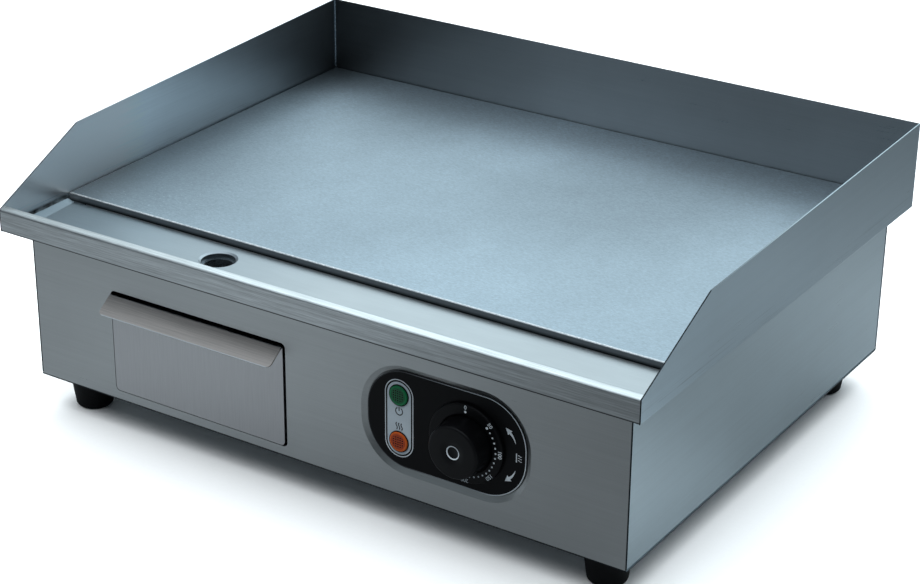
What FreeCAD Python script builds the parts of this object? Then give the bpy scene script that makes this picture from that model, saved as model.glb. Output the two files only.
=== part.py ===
"""Counter-top electric griddle: a flat steel plate between folded stainless splash guards, on a boxed
body with a grease drawer, a thermostat dial and two pilot lamps.

Frame: millimetres, +Z up, +X to the operator's right, the operator stands at -Y. The origin is the
middle of the footprint on the worktop. Heights are counted from SEAT, the top rim of the body box.
"""
import FreeCAD
import Part
import math
import os
from FreeCAD import Vector

os.makedirs("parts", exist_ok=True)

# ---------------------------------------------------------------- driving dimensions
# overall
WIDTH = 550.0                # outside of the side splash guards
DEPTH = 430.0                # front apron to back splash guard
FOOT_HEIGHT = 28.0           # worktop to underside of the body
BODY_HEIGHT = 123.0          # body box, base plate included
APRON_HEIGHT = 18.3          # front apron above the body's top
BACK_HEIGHT = 69.5           # back splash guard above the body's top
BREAK_HEIGHT = 60.2          # side guard where its front slope ends
BREAK_FROM_FRONT = 90.0      # front apron to that break

# sheet metal
SHEET = 1.0                  # body panels and gutter
GUARD_SHEET = 1.0            # splash guards and plate rail
BEND = 0.8                   # inside bend radius
FLANGE = 14.0                # folded edges of the body panels
SEAM = 0.2                   # air between two panels that meet

# body box, set in from the surround
SIDE_INSET = 14.6
FRONT_INSET = 18.0
BACK_INSET = 9.6

# plate and gutter
PLATE_THICKNESS = 6.0
PLATE_FROM_FRONT = 75.0
PLATE_GAP = 1.0              # plate to guard, each side
PLATE_EDGE = 0.5             # eased top edge
LIP_DEPTH = 9.0              # flat rim between apron and gutter
GUTTER_GAP = 1.5             # gutter's back flange to the plate
GUTTER_FLANGE = 12.0         # that flange's depth
GUTTER_END_GAP = 2.2         # slit between gutter floor and side guard
RAMP_FRONT = 10.8            # gutter floor that rises towards each end: its width at the front
RAMP_BACK = 6.8              # and at the plate
RAMP_RISE = 1.5
GUARD_FLANGE = 19.0          # ledge that carries the plate, from the guard's outside
RAIL_DEPTH = 16.0            # plate rail, horizontal leg
RAIL_DROP = 12.0             # plate rail, vertical leg

# drain
DRAIN_X = -105.0
DRAIN_FROM_FRONT = 49.0
DRAIN_RIM = 14.7             # dished rim of the hole
DRAIN_THROAT = 12.8
DRAIN_COLLAR = 5.0           # pressed collar under the floor
SPOUT_BORE = 11.4
SPOUT_WALL = 1.2
SPOUT_LENGTH = 38.0
SPOUT_CLEARANCE = 0.1        # spout socket over the collar

# drawer
OPENING_X = -103.0
OPENING_WIDTH = 163.0
OPENING_BELOW_SEAT = 31.5
OPENING_ABOVE_BASE = 7.8
OPENING_CORNER = 4.0
DRAWER_GAP_LEFT = 0.5
DRAWER_GAP_RIGHT = 2.5
DRAWER_GAP_BOTTOM = 0.5
DRAWER_GAP_TOP = 1.3         # up to the corner that the bend rounds off
LIP_OUT = 16.0               # pull lip, forward of the drawer's face
LIP_DOWN = 12.0
LIP_CORNER = 4.0
TRAY_LENGTH = 250.0
TRAY_SHEET = 0.8
TRAY_MARGIN = 1.0            # tray inside the face's outline
TRAY_BELOW_FACE_TOP = 11.0
TRAY_CORNER = 5.0
TRAY_FOOT = 2.0              # pressed edge round the tray's bottom
TRAY_HEM = 1.2               # rolled top edge of the tray
RUNNER_CLEARANCE = 0.4
RUNNER_LEDGE = 10.0
RUNNER_GUIDE = 26.0          # upright guide of a runner
RUNNER_FOOT = 12.0

# control panel
CONTROL_X = 114.4
CONTROL_BELOW_MIDDLE = 1.25
RECESS_WIDTH = 139.6
RECESS_HEIGHT = 84.5
RECESS_CORNER = 38.3
RECESS_DEPTH = 2.4
RECESS_SLOPE = 4.3           # width of the recess's sloping side
FASCIA = 0.8
FASCIA_GAP = 0.25
LAMP_X = 75.8
LAMP_PITCH = 36.3
LAMP_RADIUS = 7.6
LAMP_PROUD = 1.6
LAMP_ROUND = 1.1
LAMP_CLEARANCE = 0.15
LAMP_TAIL = 4.0              # lens behind the panel
HOLDER_RADIUS = 9.5
HOLDER_LENGTH = 22.0
TAB_WIDTH = 4.8
TAB_THICKNESS = 0.8
TAB_LENGTH = 7.0
DIAL_X = 132.4
DIAL_BELOW_CONTROL = 1.5
DIAL_RADIUS = 30.3
DIAL_HEIGHT = 3.2
DIAL_EDGE = 0.8              # chamfer round the ring
KNOB_IN_RING = 0.6           # air between the knob and its dial ring
KNOB_BASE_RADIUS = 21.0
KNOB_FRONT_RADIUS = 19.9
KNOB_LENGTH = 19.0
KNOB_GAP = 0.5
KNOB_WALL = 2.4
KNOB_EDGE = 1.6
KNOB_HUB = 5.2
DISH_RADIUS = 10.0
DISH_DEPTH = 1.3
DISH_STEPS = 8               # straight facets from the dish's rim to its middle
POINTER_WIDTH = 1.6
POINTER_PROUD = 0.35
SPINDLE_RADIUS = 3.0
SPINDLE_FLAT = 2.2           # axis to the D flat
SPINDLE_FIT = 0.05           # running clearance in the thermostat, and in the knob
SPINDLE_IN_KNOB = 11.0
BUSH_RADIUS = 5.0
THERMOSTAT_SIZE = 38.0
THERMOSTAT_HEIGHT = 34.0
THERMOSTAT_DEPTH = 30.0
THERMOSTAT_CORNER = 3.0
THERMOSTAT_TABS = 24.0       # between the blades, across
THERMOSTAT_TAB_ROWS = 18.0   # and up
THERMOSTAT_SCREWS = 26.0     # between the two mounting screws

# under the plate
ELEMENT_COUNT = 4
ELEMENT_RADIUS = 4.0
ELEMENT_MARGIN = 30.0        # plate's edge to the first and last runs
ELEMENT_END = 22.0           # body's inside to the cold ends
ELEMENT_TURN_MARGIN = 24.0   # body's inside to the hairpin's turn
ELEMENT_DROP = 44.0          # cold ends below the plate
ELEMENT_BEND = 12.0
TURN_FLAT = 0.01             # straight left in the middle of a hairpin's turn
BEAD_RADIUS = 4.8
BEAD_HEIGHT = 5.0
PIN_RADIUS = 2.0
PIN_LENGTH = 10.0            # below the bead
STACK_MARGIN = 12.0          # insulation's edge to the plate's edge
COLD_END_ROOM = 16.0         # insulation's edge to the cold ends
CLAMP_SHEET = 1.5
INSULATION = 18.5
STUD_RADIUS = 3.0
STUD_CLEARANCE = 0.4
STUD_TAIL = 8.0
STUD_X_PITCH = 165.0
NUT_FLATS = 10.0
NUT_HEIGHT = 5.0
BULB_RADIUS = 3.0
BULB_LENGTH = 90.0
CAPILLARY_RADIUS = 0.8
CAPILLARY_BEND = 3.0
CAPILLARY_SLACK = 45.0       # behind the thermostat before it turns up
CAPILLARY_DROP = 14.0        # below the heat shield

# feet
FOOT_FROM_SIDE = 43.4
FOOT_FROM_FRONT = 44.4
FOOT_FROM_BACK = 42.4
FOOT_TOP_RADIUS = 18.0
FOOT_BOTTOM_RADIUS = 14.2
FOOT_EDGE = 3.2
EDGE_STEPS = 6               # straight facets round a turned edge
FOOT_RECESS = 6.5
FOOT_RECESS_DEPTH = 17.0

# screws
M3 = 1.5
M4 = 2.0
M6 = 3.0
HEAD_RATIO = 1.85            # pan head radius over shank radius
HEAD_HEIGHT = 2.2
HEAD_ROUND = 1.0
RECESS_IN_HEAD = 1.2         # depth of the cross recess
RECESS_ARM = 0.8             # its width
SCREW_CLEARANCE = 0.1
BASE_SCREW_LENGTH = 8.0

# back panel
VENT_WIDTH = 3.5
VENT_LENGTH = 60.0
VENT_PITCH = 9.0
VENT_COUNT = 6
VENT_END = 0.01              # flat left between a slot's end arcs
VENT_X = 95.0
GLAND_X = 200.0
GLAND_ABOVE_BASE = 30.0
GLAND_THREAD = 9.0
GLAND_FLANGE = 13.0
GLAND_BORE = 4.6
GLAND_OUT = 9.0
GLAND_IN = 14.0
GLAND_RIM = 3.5              # thickness of the flange
GLAND_DOME = 1.6             # wall at the mouth
GLAND_NUT_FLATS = 26.0
GLAND_NUT_HEIGHT = 5.0
THREAD_GAP = 0.02            # nut over stud
BOND_X = -200.0
BOND_RADIUS = 2.5
BOND_OUT = 9.0
BOND_IN = 8.0
BOND_NUT_FLATS = 8.0
BOND_NUT_OUTSIDE = 2.7
BOND_NUT_INSIDE = 4.0
CUTOUT_X = 150.0
CUTOUT_SIZE = 30.0
CUTOUT_DEPTH = 22.0
RESET_RADIUS = 7.0
RESET_OUT = 6.0
RESET_ROUND = 1.0
CUTOUT_CORNER = 2.0
TERMINAL_LENGTH = 42.0
TERMINAL_WIDTH = 20.0
TERMINAL_HEIGHT = 18.0
TERMINAL_X = 165.0
TERMINAL_FROM_BACK = 52.0
TERMINAL_POCKET = 3.0        # radius of a clamp screw's pocket
TERMINAL_BORE = 1.8
LEAD_RADIUS = 1.3
LEAD_BEND = 9.0
LEAD_HANG = 24.0             # slack below an element's pin

# ---------------------------------------------------------------- worked out from them
FRONT = -DEPTH / 2
BACK = DEPTH / 2
HALF = WIDTH / 2
SEAT = FOOT_HEIGHT + BODY_HEIGHT
BASE_TOP = FOOT_HEIGHT + SHEET
BODY_HALF = HALF - SIDE_INSET
BODY_FRONT = FRONT + FRONT_INSET
BODY_BACK = BACK - BACK_INSET
GUTTER_FLOOR = SEAT + 2 * SHEET
PLATE_FRONT = FRONT + PLATE_FROM_FRONT
PLATE_BACK = BACK - GUARD_SHEET - PLATE_GAP
PLATE_HALF = HALF - GUARD_SHEET - PLATE_GAP
PLATE_BOTTOM = SEAT + GUARD_SHEET
FLANGE_HALF = BODY_HALF - FLANGE - SHEET
DRAIN_Y = FRONT + DRAIN_FROM_FRONT
OPENING_LEFT = OPENING_X - OPENING_WIDTH / 2
OPENING_RIGHT = OPENING_X + OPENING_WIDTH / 2
OPENING_TOP = SEAT - OPENING_BELOW_SEAT
OPENING_BOTTOM = FOOT_HEIGHT + OPENING_ABOVE_BASE
FACE_LEFT = OPENING_LEFT + DRAWER_GAP_LEFT
FACE_RIGHT = OPENING_RIGHT - DRAWER_GAP_RIGHT
FACE_BOTTOM = OPENING_BOTTOM + DRAWER_GAP_BOTTOM
FACE_TOP = OPENING_TOP - DRAWER_GAP_TOP
TRAY_LEFT = FACE_LEFT + TRAY_MARGIN
TRAY_RIGHT = FACE_RIGHT - TRAY_MARGIN
TRAY_FRONT = BODY_FRONT + SHEET
TRAY_BOTTOM = FACE_BOTTOM + TRAY_MARGIN
TRAY_TOP = FACE_TOP - TRAY_BELOW_FACE_TOP
CONTROL_Z = FOOT_HEIGHT + BODY_HEIGHT / 2 - CONTROL_BELOW_MIDDLE
DIAL_Z = CONTROL_Z - DIAL_BELOW_CONTROL
RECESS_FLOOR = BODY_FRONT + RECESS_DEPTH
FASCIA_FACE = RECESS_FLOOR - FASCIA
PANEL_REAR = RECESS_FLOOR + SHEET
KNOB_BACK = FASCIA_FACE - KNOB_GAP
DIAL_BORE = KNOB_BASE_RADIUS + KNOB_IN_RING
CLAMP_TOP = PLATE_BOTTOM - 2 * ELEMENT_RADIUS
CLAMP_BOTTOM = CLAMP_TOP - CLAMP_SHEET
SHIELD_TOP = CLAMP_BOTTOM - INSULATION
SHIELD_BOTTOM = SHIELD_TOP - SHEET
ELEMENT_X = BODY_HALF - SHEET - ELEMENT_END
ELEMENT_PIN = PLATE_BOTTOM - ELEMENT_DROP - BEAD_HEIGHT - PIN_LENGTH
STACK_LEFT = -PLATE_HALF + STACK_MARGIN + GUARD_FLANGE
STACK_RIGHT = ELEMENT_X - COLD_END_ROOM
STACK_FRONT = PLATE_FRONT + RAIL_DEPTH + SHEET
STACK_BACK = BODY_BACK - FLANGE - STACK_MARGIN
GLAND_Z = FOOT_HEIGHT + GLAND_ABOVE_BASE
FOOT_X = HALF - FOOT_FROM_SIDE
FEET = {
    "front_left": (-FOOT_X, FRONT + FOOT_FROM_FRONT),
    "front_right": (FOOT_X, FRONT + FOOT_FROM_FRONT),
    "back_left": (-FOOT_X, BACK - FOOT_FROM_BACK),
    "back_right": (FOOT_X, BACK - FOOT_FROM_BACK),
}
X_AXIS = Vector(1, 0, 0)
Y_AXIS = Vector(0, 1, 0)
Z_AXIS = Vector(0, 0, 1)


# ---------------------------------------------------------------- small tools
def save(name, *shapes):
    """Writes one node: a single shape, or several separate solids."""
    shape = shapes[0] if len(shapes) == 1 else Part.makeCompound(list(shapes))
    shape.exportStep("parts/" + name + ".step")


def box(x0, x1, y0, y1, z0, z1):
    return Part.makeBox(x1 - x0, y1 - y0, z1 - z0, Vector(x0, y0, z0))


def rod(radius, start, direction, length):
    return Part.makeCylinder(radius, length, start, direction)


def in_yz(u, v):
    return Vector(0, u, v)


def in_xz(u, v):
    return Vector(u, 0, v)


def in_xy(u, v):
    return Vector(u, v, 0)


def bent_profile(skin, gauge, radii, to_3d):
    """Face of a folded sheet. skin is its outer line as (u, v) points, with the metal on its right."""
    outer, inner = [], []
    here, here_in = None, None
    for i, (u, v) in enumerate(skin):
        if i == 0 or i == len(skin) - 1:
            (a, b) = (skin[0], skin[1]) if i == 0 else (skin[-2], skin[-1])
            run = math.hypot(b[0] - a[0], b[1] - a[1])
            right = ((b[1] - a[1]) / run, -(b[0] - a[0]) / run)
            now = to_3d(u, v)
            now_in = to_3d(u + right[0] * gauge, v + right[1] * gauge)
            if here is not None:
                outer.append(Part.LineSegment(here, now).toShape())
                inner.append(Part.LineSegment(here_in, now_in).toShape())
            here, here_in = now, now_in
            continue
        before, after = skin[i - 1], skin[i + 1]
        d1 = Vector(u - before[0], v - before[1], 0).normalize()
        d2 = Vector(after[0] - u, after[1] - v, 0).normalize()
        to_metal = d1.x * d2.y - d1.y * d2.x < 0
        radius = radii[i - 1] + (gauge if to_metal else 0)
        side = 1 if to_metal else -1
        half_turn = math.acos(max(-1.0, min(1.0, d1.dot(d2)))) / 2
        setback = radius * math.tan(half_turn)
        corner = Vector(u, v, 0)
        start, end = corner - d1 * setback, corner + d2 * setback
        n1, n2 = Vector(d1.y, -d1.x, 0), Vector(d2.y, -d2.x, 0)
        centre = start + n1 * (radius * side)
        toward = (corner - centre).normalize()
        arc = [start, centre + toward * radius, end]
        inside = [start + n1 * gauge, centre + toward * (radius - side * gauge), end + n2 * gauge]
        arc = [to_3d(p.x, p.y) for p in arc]
        inside = [to_3d(p.x, p.y) for p in inside]
        outer.append(Part.LineSegment(here, arc[0]).toShape())
        outer.append(Part.Arc(*arc).toShape())
        inner.append(Part.LineSegment(here_in, inside[0]).toShape())
        inner.append(Part.Arc(*inside).toShape())
        here, here_in = arc[2], inside[2]
    first, first_in = outer[0].Vertexes[0].Point, inner[0].Vertexes[0].Point
    ends = [Part.LineSegment(first, first_in).toShape(), Part.LineSegment(here, here_in).toShape()]
    return Part.Face(Part.Wire(Part.__sortEdges__(outer + inner + ends)))


def folded(skin, gauge, along, low, high, radii=None):
    """Folded sheet: the profile in the plane across the axis along, from low to high on that axis."""
    to_3d = {"x": in_yz, "y": in_xz, "z": in_xy}[along]
    axis = {"x": X_AXIS, "y": Y_AXIS, "z": Z_AXIS}[along]
    radii = radii or [BEND] * (len(skin) - 2)
    solid = bent_profile(skin, gauge, radii, to_3d).extrude(axis * (high - low))
    solid.translate(axis * low)
    return solid


def rounded_wire(cx, cz, width, height, corner, y):
    """Upright rounded rectangle at depth y, as a wire of four lines and four arcs."""
    x0, x1, z0, z1 = cx - width / 2, cx + width / 2, cz - height / 2, cz + height / 2
    cut = corner * (1 - math.sqrt(0.5))
    p = [(x0 + corner, z0), (x1 - corner, z0), (x1 - cut, z0 + cut), (x1, z0 + corner),
         (x1, z1 - corner), (x1 - cut, z1 - cut), (x1 - corner, z1), (x0 + corner, z1),
         (x0 + cut, z1 - cut), (x0, z1 - corner), (x0, z0 + corner), (x0 + cut, z0 + cut)]
    p = [Vector(x, y, z) for x, z in p]
    edges = []
    for a in (0, 3, 6, 9):
        edges.append(Part.LineSegment(p[a], p[a + 1]).toShape())
        edges.append(Part.Arc(p[a + 1], p[a + 2], p[(a + 3) % 12]).toShape())
    return Part.Wire(edges)


def rounded_plate(cx, cz, width, height, corner, y, thickness):
    wire = rounded_wire(cx, cz, width, height, corner, y)
    return Part.Face(wire).extrude(Y_AXIS * thickness)


def turned(profile, axis_point, axis):
    """Solid of revolution of a closed (radius, along) outline about an upright or fore-and-aft axis."""
    if axis == "z":
        points = [Vector(r, 0, a) for r, a in profile]
        direction = Z_AXIS
    else:
        points = [Vector(r, -a, 0) for r, a in profile]
        direction = Y_AXIS
    face = Part.Face(Part.makePolygon(points + [points[0]]))
    solid = face.revolve(Vector(0, 0, 0), direction, 360)
    if solid.Volume < 0:
        solid.reverse()
    solid.translate(axis_point)
    return solid


def hexagon(flats, height, centre, bore, axis=Z_AXIS):
    """Plain nut that stands on centre and grows along axis."""
    corner = flats / math.sqrt(3)
    ring = [Vector(corner * math.cos(math.radians(60 * i)), corner * math.sin(math.radians(60 * i)), 0)
            for i in range(7)]
    nut = Part.Face(Part.makePolygon(ring)).extrude(Z_AXIS * height)
    nut = nut.cut(rod(bore, Vector(0, 0, 0), Z_AXIS, height))
    nut.Placement = FreeCAD.Placement(centre, FreeCAD.Rotation(Z_AXIS, axis))
    return nut


def screw(radius, length, under_head, into):
    """Pan-head screw with a cross recess. under_head is the head's seat, into the way the shank goes."""
    head = Part.makeCylinder(radius * HEAD_RATIO, HEAD_HEIGHT, Vector(0, 0, -HEAD_HEIGHT))
    rim = [e for e in head.Edges if abs(e.BoundBox.ZMax + HEAD_HEIGHT) < 1e-6 and e.Length > radius]
    head = head.makeFillet(HEAD_ROUND, rim)
    for w, d in ((RECESS_ARM, 2 * radius), (2 * radius, RECESS_ARM)):
        head = head.cut(Part.makeBox(w, d, RECESS_IN_HEAD, Vector(-w / 2, -d / 2, -HEAD_HEIGHT)))
    whole = head.fuse(Part.makeCylinder(radius, length)).removeSplitter()
    whole.Placement = FreeCAD.Placement(under_head, FreeCAD.Rotation(Z_AXIS, into))
    return whole


def pipe(points, radius, bends):
    """Round rod along straight runs joined by tangent arcs, with one of bends at each corner."""
    edges, here = [], points[0]
    for before, corner, after, bend in zip(points, points[1:], points[2:], bends):
        d1, d2 = (corner - before).normalize(), (after - corner).normalize()
        turn = math.acos(max(-1.0, min(1.0, d1.dot(d2))))
        setback = bend * math.tan(turn / 2)
        start, end = corner - d1 * setback, corner + d2 * setback
        inward = (d2 - d1).normalize()
        middle = corner + inward * (bend / math.cos(turn / 2) - bend)
        edges.append(Part.LineSegment(here, start).toShape())
        edges.append(Part.Arc(start, middle, end).toShape())
        here = end
    edges.append(Part.LineSegment(here, points[-1]).toShape())
    section = Part.Wire(Part.Circle(points[0], points[1] - points[0], radius).toShape())
    return Part.Wire(edges).makePipeShell([section], True, False)


def mirrored(shape):
    return shape.mirror(Vector(0, 0, 0), X_AXIS)


# ---------------------------------------------------------------- surround
def side_guard_right():
    """Side splash guard with the ledge that carries the plate."""
    top = SEAT + BACK_HEIGHT
    skin = [(HALF, top), (HALF, SEAT), (HALF - GUARD_FLANGE, SEAT)]
    guard = folded(skin, GUARD_SHEET, "y", FRONT, BACK)
    outline = [(FRONT, SEAT + APRON_HEIGHT), (FRONT + BREAK_FROM_FRONT, SEAT + BREAK_HEIGHT),
               (BACK, top), (BACK, top + SHEET), (FRONT, top + SHEET)]
    above = [Vector(0, y, z) for y, z in outline]
    waste = Part.Face(Part.makePolygon(above + [above[0]])).extrude(X_AXIS * WIDTH)
    guard = guard.cut(waste)
    inside = HALF - GUARD_SHEET
    rear_ledge = BACK - GUARD_FLANGE - SEAM
    in_front = box(0, inside, FRONT, PLATE_FRONT, SEAT - SHEET, top)
    behind = box(0, inside, rear_ledge, BACK, SEAT - SHEET, top)
    return guard.cut(in_front).cut(behind)


def back_guard():
    skin = [(BACK, SEAT + BACK_HEIGHT), (BACK, SEAT), (BACK - GUARD_FLANGE, SEAT)]
    inside = HALF - GUARD_SHEET
    return folded(skin, GUARD_SHEET, "x", -inside, inside)


def gutter():
    """Apron, rim and grease gutter, folded from one sheet, with ramped ends and a dished drain."""
    inside = HALF - GUARD_SHEET
    rim, back_edge = SEAT + APRON_HEIGHT, FRONT + LIP_DEPTH
    heel = PLATE_FRONT - GUTTER_GAP
    skin = [(back_edge - 2 * SHEET, SEAT), (FRONT, SEAT), (FRONT, rim), (back_edge, rim),
            (back_edge, GUTTER_FLOOR), (heel, GUTTER_FLOOR), (heel, GUTTER_FLOOR - GUTTER_FLANGE)]
    trough = folded(skin, SHEET, "x", -inside, inside, [BEND, BEND, BEND, 2 * BEND, BEND])
    ramp_end = inside - GUTTER_END_GAP
    floor_front = back_edge + 3 * BEND
    floor_back = heel - BEND - SHEET
    low, high = GUTTER_FLOOR - SHEET, GUTTER_FLOOR
    for side in (-1, 1):
        plan = [(ramp_end - RAMP_FRONT, floor_front), (inside + SHEET, floor_front),
                (inside + SHEET, heel + SHEET), (ramp_end - RAMP_BACK, heel + SHEET),
                (ramp_end - RAMP_BACK, floor_back)]
        plan = [Vector(side * x, y, SEAT - GUTTER_FLANGE) for x, y in plan]
        waste = Part.Face(Part.makePolygon(plan + [plan[0]]))
        trough = trough.cut(waste.extrude(Z_AXIS * (GUTTER_FLANGE + APRON_HEIGHT / 2)))
        x0, x1 = sorted((side * (FLANGE_HALF - SEAM), side * (inside + SHEET)))
        trough = trough.cut(box(x0, x1, floor_back, heel + SHEET, SEAT - GUTTER_FLANGE, SEAT))
        sections = []
        for y, width in ((floor_front, RAMP_FRONT), (floor_back, RAMP_BACK)):
            start = ramp_end - width
            outline = [(start, low), (start, high), (ramp_end, high + RAMP_RISE), (ramp_end, low + RAMP_RISE)]
            wedge = [Vector(side * x, y, z) for x, z in outline]
            sections.append(Part.makePolygon(wedge + [wedge[0]]))
        trough = trough.fuse(Part.makeLoft(sections, True, True))
    hole = Vector(DRAIN_X, DRAIN_Y, 0)
    dish = [(0, GUTTER_FLOOR), (DRAIN_RIM, GUTTER_FLOOR), (DRAIN_THROAT, GUTTER_FLOOR - SHEET),
            (DRAIN_THROAT, GUTTER_FLOOR - DRAIN_COLLAR), (0, GUTTER_FLOOR - DRAIN_COLLAR)]
    collar = rod(DRAIN_THROAT + SHEET, hole + Z_AXIS * (GUTTER_FLOOR - DRAIN_COLLAR), Z_AXIS,
                 DRAIN_COLLAR - SHEET / 2)
    return trough.fuse(collar).cut(turned(dish, hole, "z")).removeSplitter()


def drain_spout():
    """Tube that hangs from the drain's collar and drips into the drawer."""
    socket = DRAIN_THROAT + SHEET + SPOUT_CLEARANCE
    top = GUTTER_FLOOR - SHEET
    step = GUTTER_FLOOR - DRAIN_COLLAR - SPOUT_CLEARANCE
    shoulder = step - 2 * SPOUT_WALL
    bottom = top - SPOUT_LENGTH
    outline = [(socket, top), (socket + SPOUT_WALL, top), (socket + SPOUT_WALL, shoulder),
               (SPOUT_BORE + SPOUT_WALL, shoulder - SPOUT_WALL), (SPOUT_BORE + SPOUT_WALL, bottom),
               (SPOUT_BORE, bottom), (SPOUT_BORE, step), (socket, step)]
    return turned(outline, Vector(DRAIN_X, DRAIN_Y, 0), "z")


def griddle_plate():
    plate = box(-PLATE_HALF, PLATE_HALF, PLATE_FRONT, PLATE_BACK, PLATE_BOTTOM,
                PLATE_BOTTOM + PLATE_THICKNESS)
    top = PLATE_BOTTOM + PLATE_THICKNESS
    rim = [e for e in plate.Edges if e.BoundBox.ZMin > top - 1e-6]
    return plate.makeChamfer(PLATE_EDGE, rim)


def plate_rail():
    """Angle that carries the plate's front edge between the side ledges."""
    skin = [(PLATE_FRONT, PLATE_BOTTOM - RAIL_DROP), (PLATE_FRONT, PLATE_BOTTOM),
            (PLATE_FRONT + RAIL_DEPTH, PLATE_BOTTOM)]
    reach = HALF - GUARD_FLANGE - SEAM
    rail = folded(skin, GUARD_SHEET, "x", -reach, reach)
    for side in (-1, 1):
        x0, x1 = sorted((side * (FLANGE_HALF - SEAM), side * HALF))
        rail = rail.cut(box(x0, x1, PLATE_FRONT - SHEET, PLATE_FRONT + RAIL_DEPTH, SEAT - RAIL_DROP, SEAT))
    return rail


# ---------------------------------------------------------------- body box
def rear_screw_places():
    """Screws that hold the back panel to the side panels' rear flanges."""
    x = BODY_HALF - SHEET - FLANGE / 2
    low, high = BASE_TOP + FLANGE, SEAT - FLANGE - SHEET
    return [Vector(side * x, BODY_BACK, z) for side in (-1, 1) for z in (low, (low + high) / 2, high)]


def base_screw_places():
    """Screws that hold the base plate to the side panels' bottom flanges."""
    x = BODY_HALF - SHEET - FLANGE / 2
    first, last = BODY_FRONT + 5 * FLANGE, BODY_BACK - 5 * FLANGE
    return [Vector(side * x, y, FOOT_HEIGHT) for side in (-1, 1) for y in (first, (first + last) / 2, last)]


def side_panel_right():
    """Side of the body with folded top, bottom and rear edges."""
    flange_end = BODY_HALF - SHEET - FLANGE
    skin = [(flange_end, SEAT), (BODY_HALF, SEAT), (BODY_HALF, BASE_TOP), (flange_end, BASE_TOP)]
    rear = BODY_BACK - SHEET
    panel = folded(skin, SHEET, "y", BODY_FRONT, rear)
    notch = FLANGE + SHEET
    front = BODY_FRONT + SHEET + SEAM
    for z in (BASE_TOP, SEAT - 2 * SHEET):
        panel = panel.cut(box(0, BODY_HALF - 2 * SHEET, rear - notch, rear, z, z + 2 * SHEET))
        panel = panel.cut(box(0, BODY_HALF - SHEET, BODY_FRONT, front, z, z + 2 * SHEET))
    web = [(BODY_HALF, rear - notch), (BODY_HALF, rear), (flange_end, rear)]
    back = folded([(u, v) for u, v in reversed(web)], SHEET, "z", BASE_TOP + 3 * SHEET,
                  SEAT - 3 * SHEET)
    trim = box(BODY_HALF - SHEET - BEND, BODY_HALF, rear - SHEET - BEND, rear, BASE_TOP + 3 * SHEET,
               SEAT - 3 * SHEET)
    panel = panel.cut(trim).fuse(back).removeSplitter()
    for p in rear_screw_places():
        panel = panel.cut(rod(M4 + SCREW_CLEARANCE, p, -Y_AXIS, 3 * SHEET))
    for p in base_screw_places():
        panel = panel.cut(rod(M4 + SCREW_CLEARANCE, p, Z_AXIS, 3 * SHEET))
    return panel


def front_panel():
    """Front of the body: drawer opening on the left, pressed recess for the controls on the right."""
    half = BODY_HALF - SHEET - SEAM
    web = box(-half, half, BODY_FRONT, BODY_FRONT + SHEET, BASE_TOP, GUTTER_FLOOR - SHEET)
    skin = [(BODY_FRONT + FLANGE, BASE_TOP), (BODY_FRONT, BASE_TOP), (BODY_FRONT, GUTTER_FLOOR - SHEET),
            (BODY_FRONT + FLANGE, GUTTER_FLOOR - SHEET)]
    flange_half = FLANGE_HALF - SEAM
    middle = folded(skin, SHEET, "x", -flange_half, flange_half)
    panel = middle.fuse(web).removeSplitter()
    outer = (CONTROL_X, CONTROL_Z, RECESS_WIDTH, RECESS_HEIGHT, RECESS_CORNER)
    inner = (CONTROL_X, CONTROL_Z, RECESS_WIDTH - 2 * RECESS_SLOPE, RECESS_HEIGHT - 2 * RECESS_SLOPE,
             RECESS_CORNER - RECESS_SLOPE)
    hollow = Part.makeLoft([rounded_wire(*outer, BODY_FRONT), rounded_wire(*inner, RECESS_FLOOR)], True, True)
    swelling = Part.makeLoft([rounded_wire(*outer, BODY_FRONT + SHEET), rounded_wire(*inner, PANEL_REAR)],
                             True, True)
    panel = panel.fuse(swelling).cut(hollow)
    opening = rounded_plate(OPENING_X, (OPENING_TOP + OPENING_BOTTOM) / 2, OPENING_WIDTH,
                            OPENING_TOP - OPENING_BOTTOM, OPENING_CORNER, BODY_FRONT - SHEET, 3 * SHEET)
    panel = panel.cut(opening)
    for hole in control_holes():
        panel = panel.cut(hole)
    return panel


def control_holes():
    """Drillings through fascia and panel for lamps, thermostat bush and its two screws."""
    reach = RECESS_DEPTH + 2 * SHEET
    holes = [rod(LAMP_RADIUS + LAMP_CLEARANCE, Vector(LAMP_X, BODY_FRONT, z), Y_AXIS, reach)
             for z in lamp_heights()]
    holes.append(rod(BUSH_RADIUS + SCREW_CLEARANCE, Vector(DIAL_X, BODY_FRONT, DIAL_Z), Y_AXIS, reach))
    for p in thermostat_screw_places():
        holes.append(rod(M3 + SCREW_CLEARANCE, Vector(p.x, BODY_FRONT, p.z), Y_AXIS, reach))
    return holes


def lamp_heights():
    return (CONTROL_Z + LAMP_PITCH / 2, CONTROL_Z - LAMP_PITCH / 2)


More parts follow.
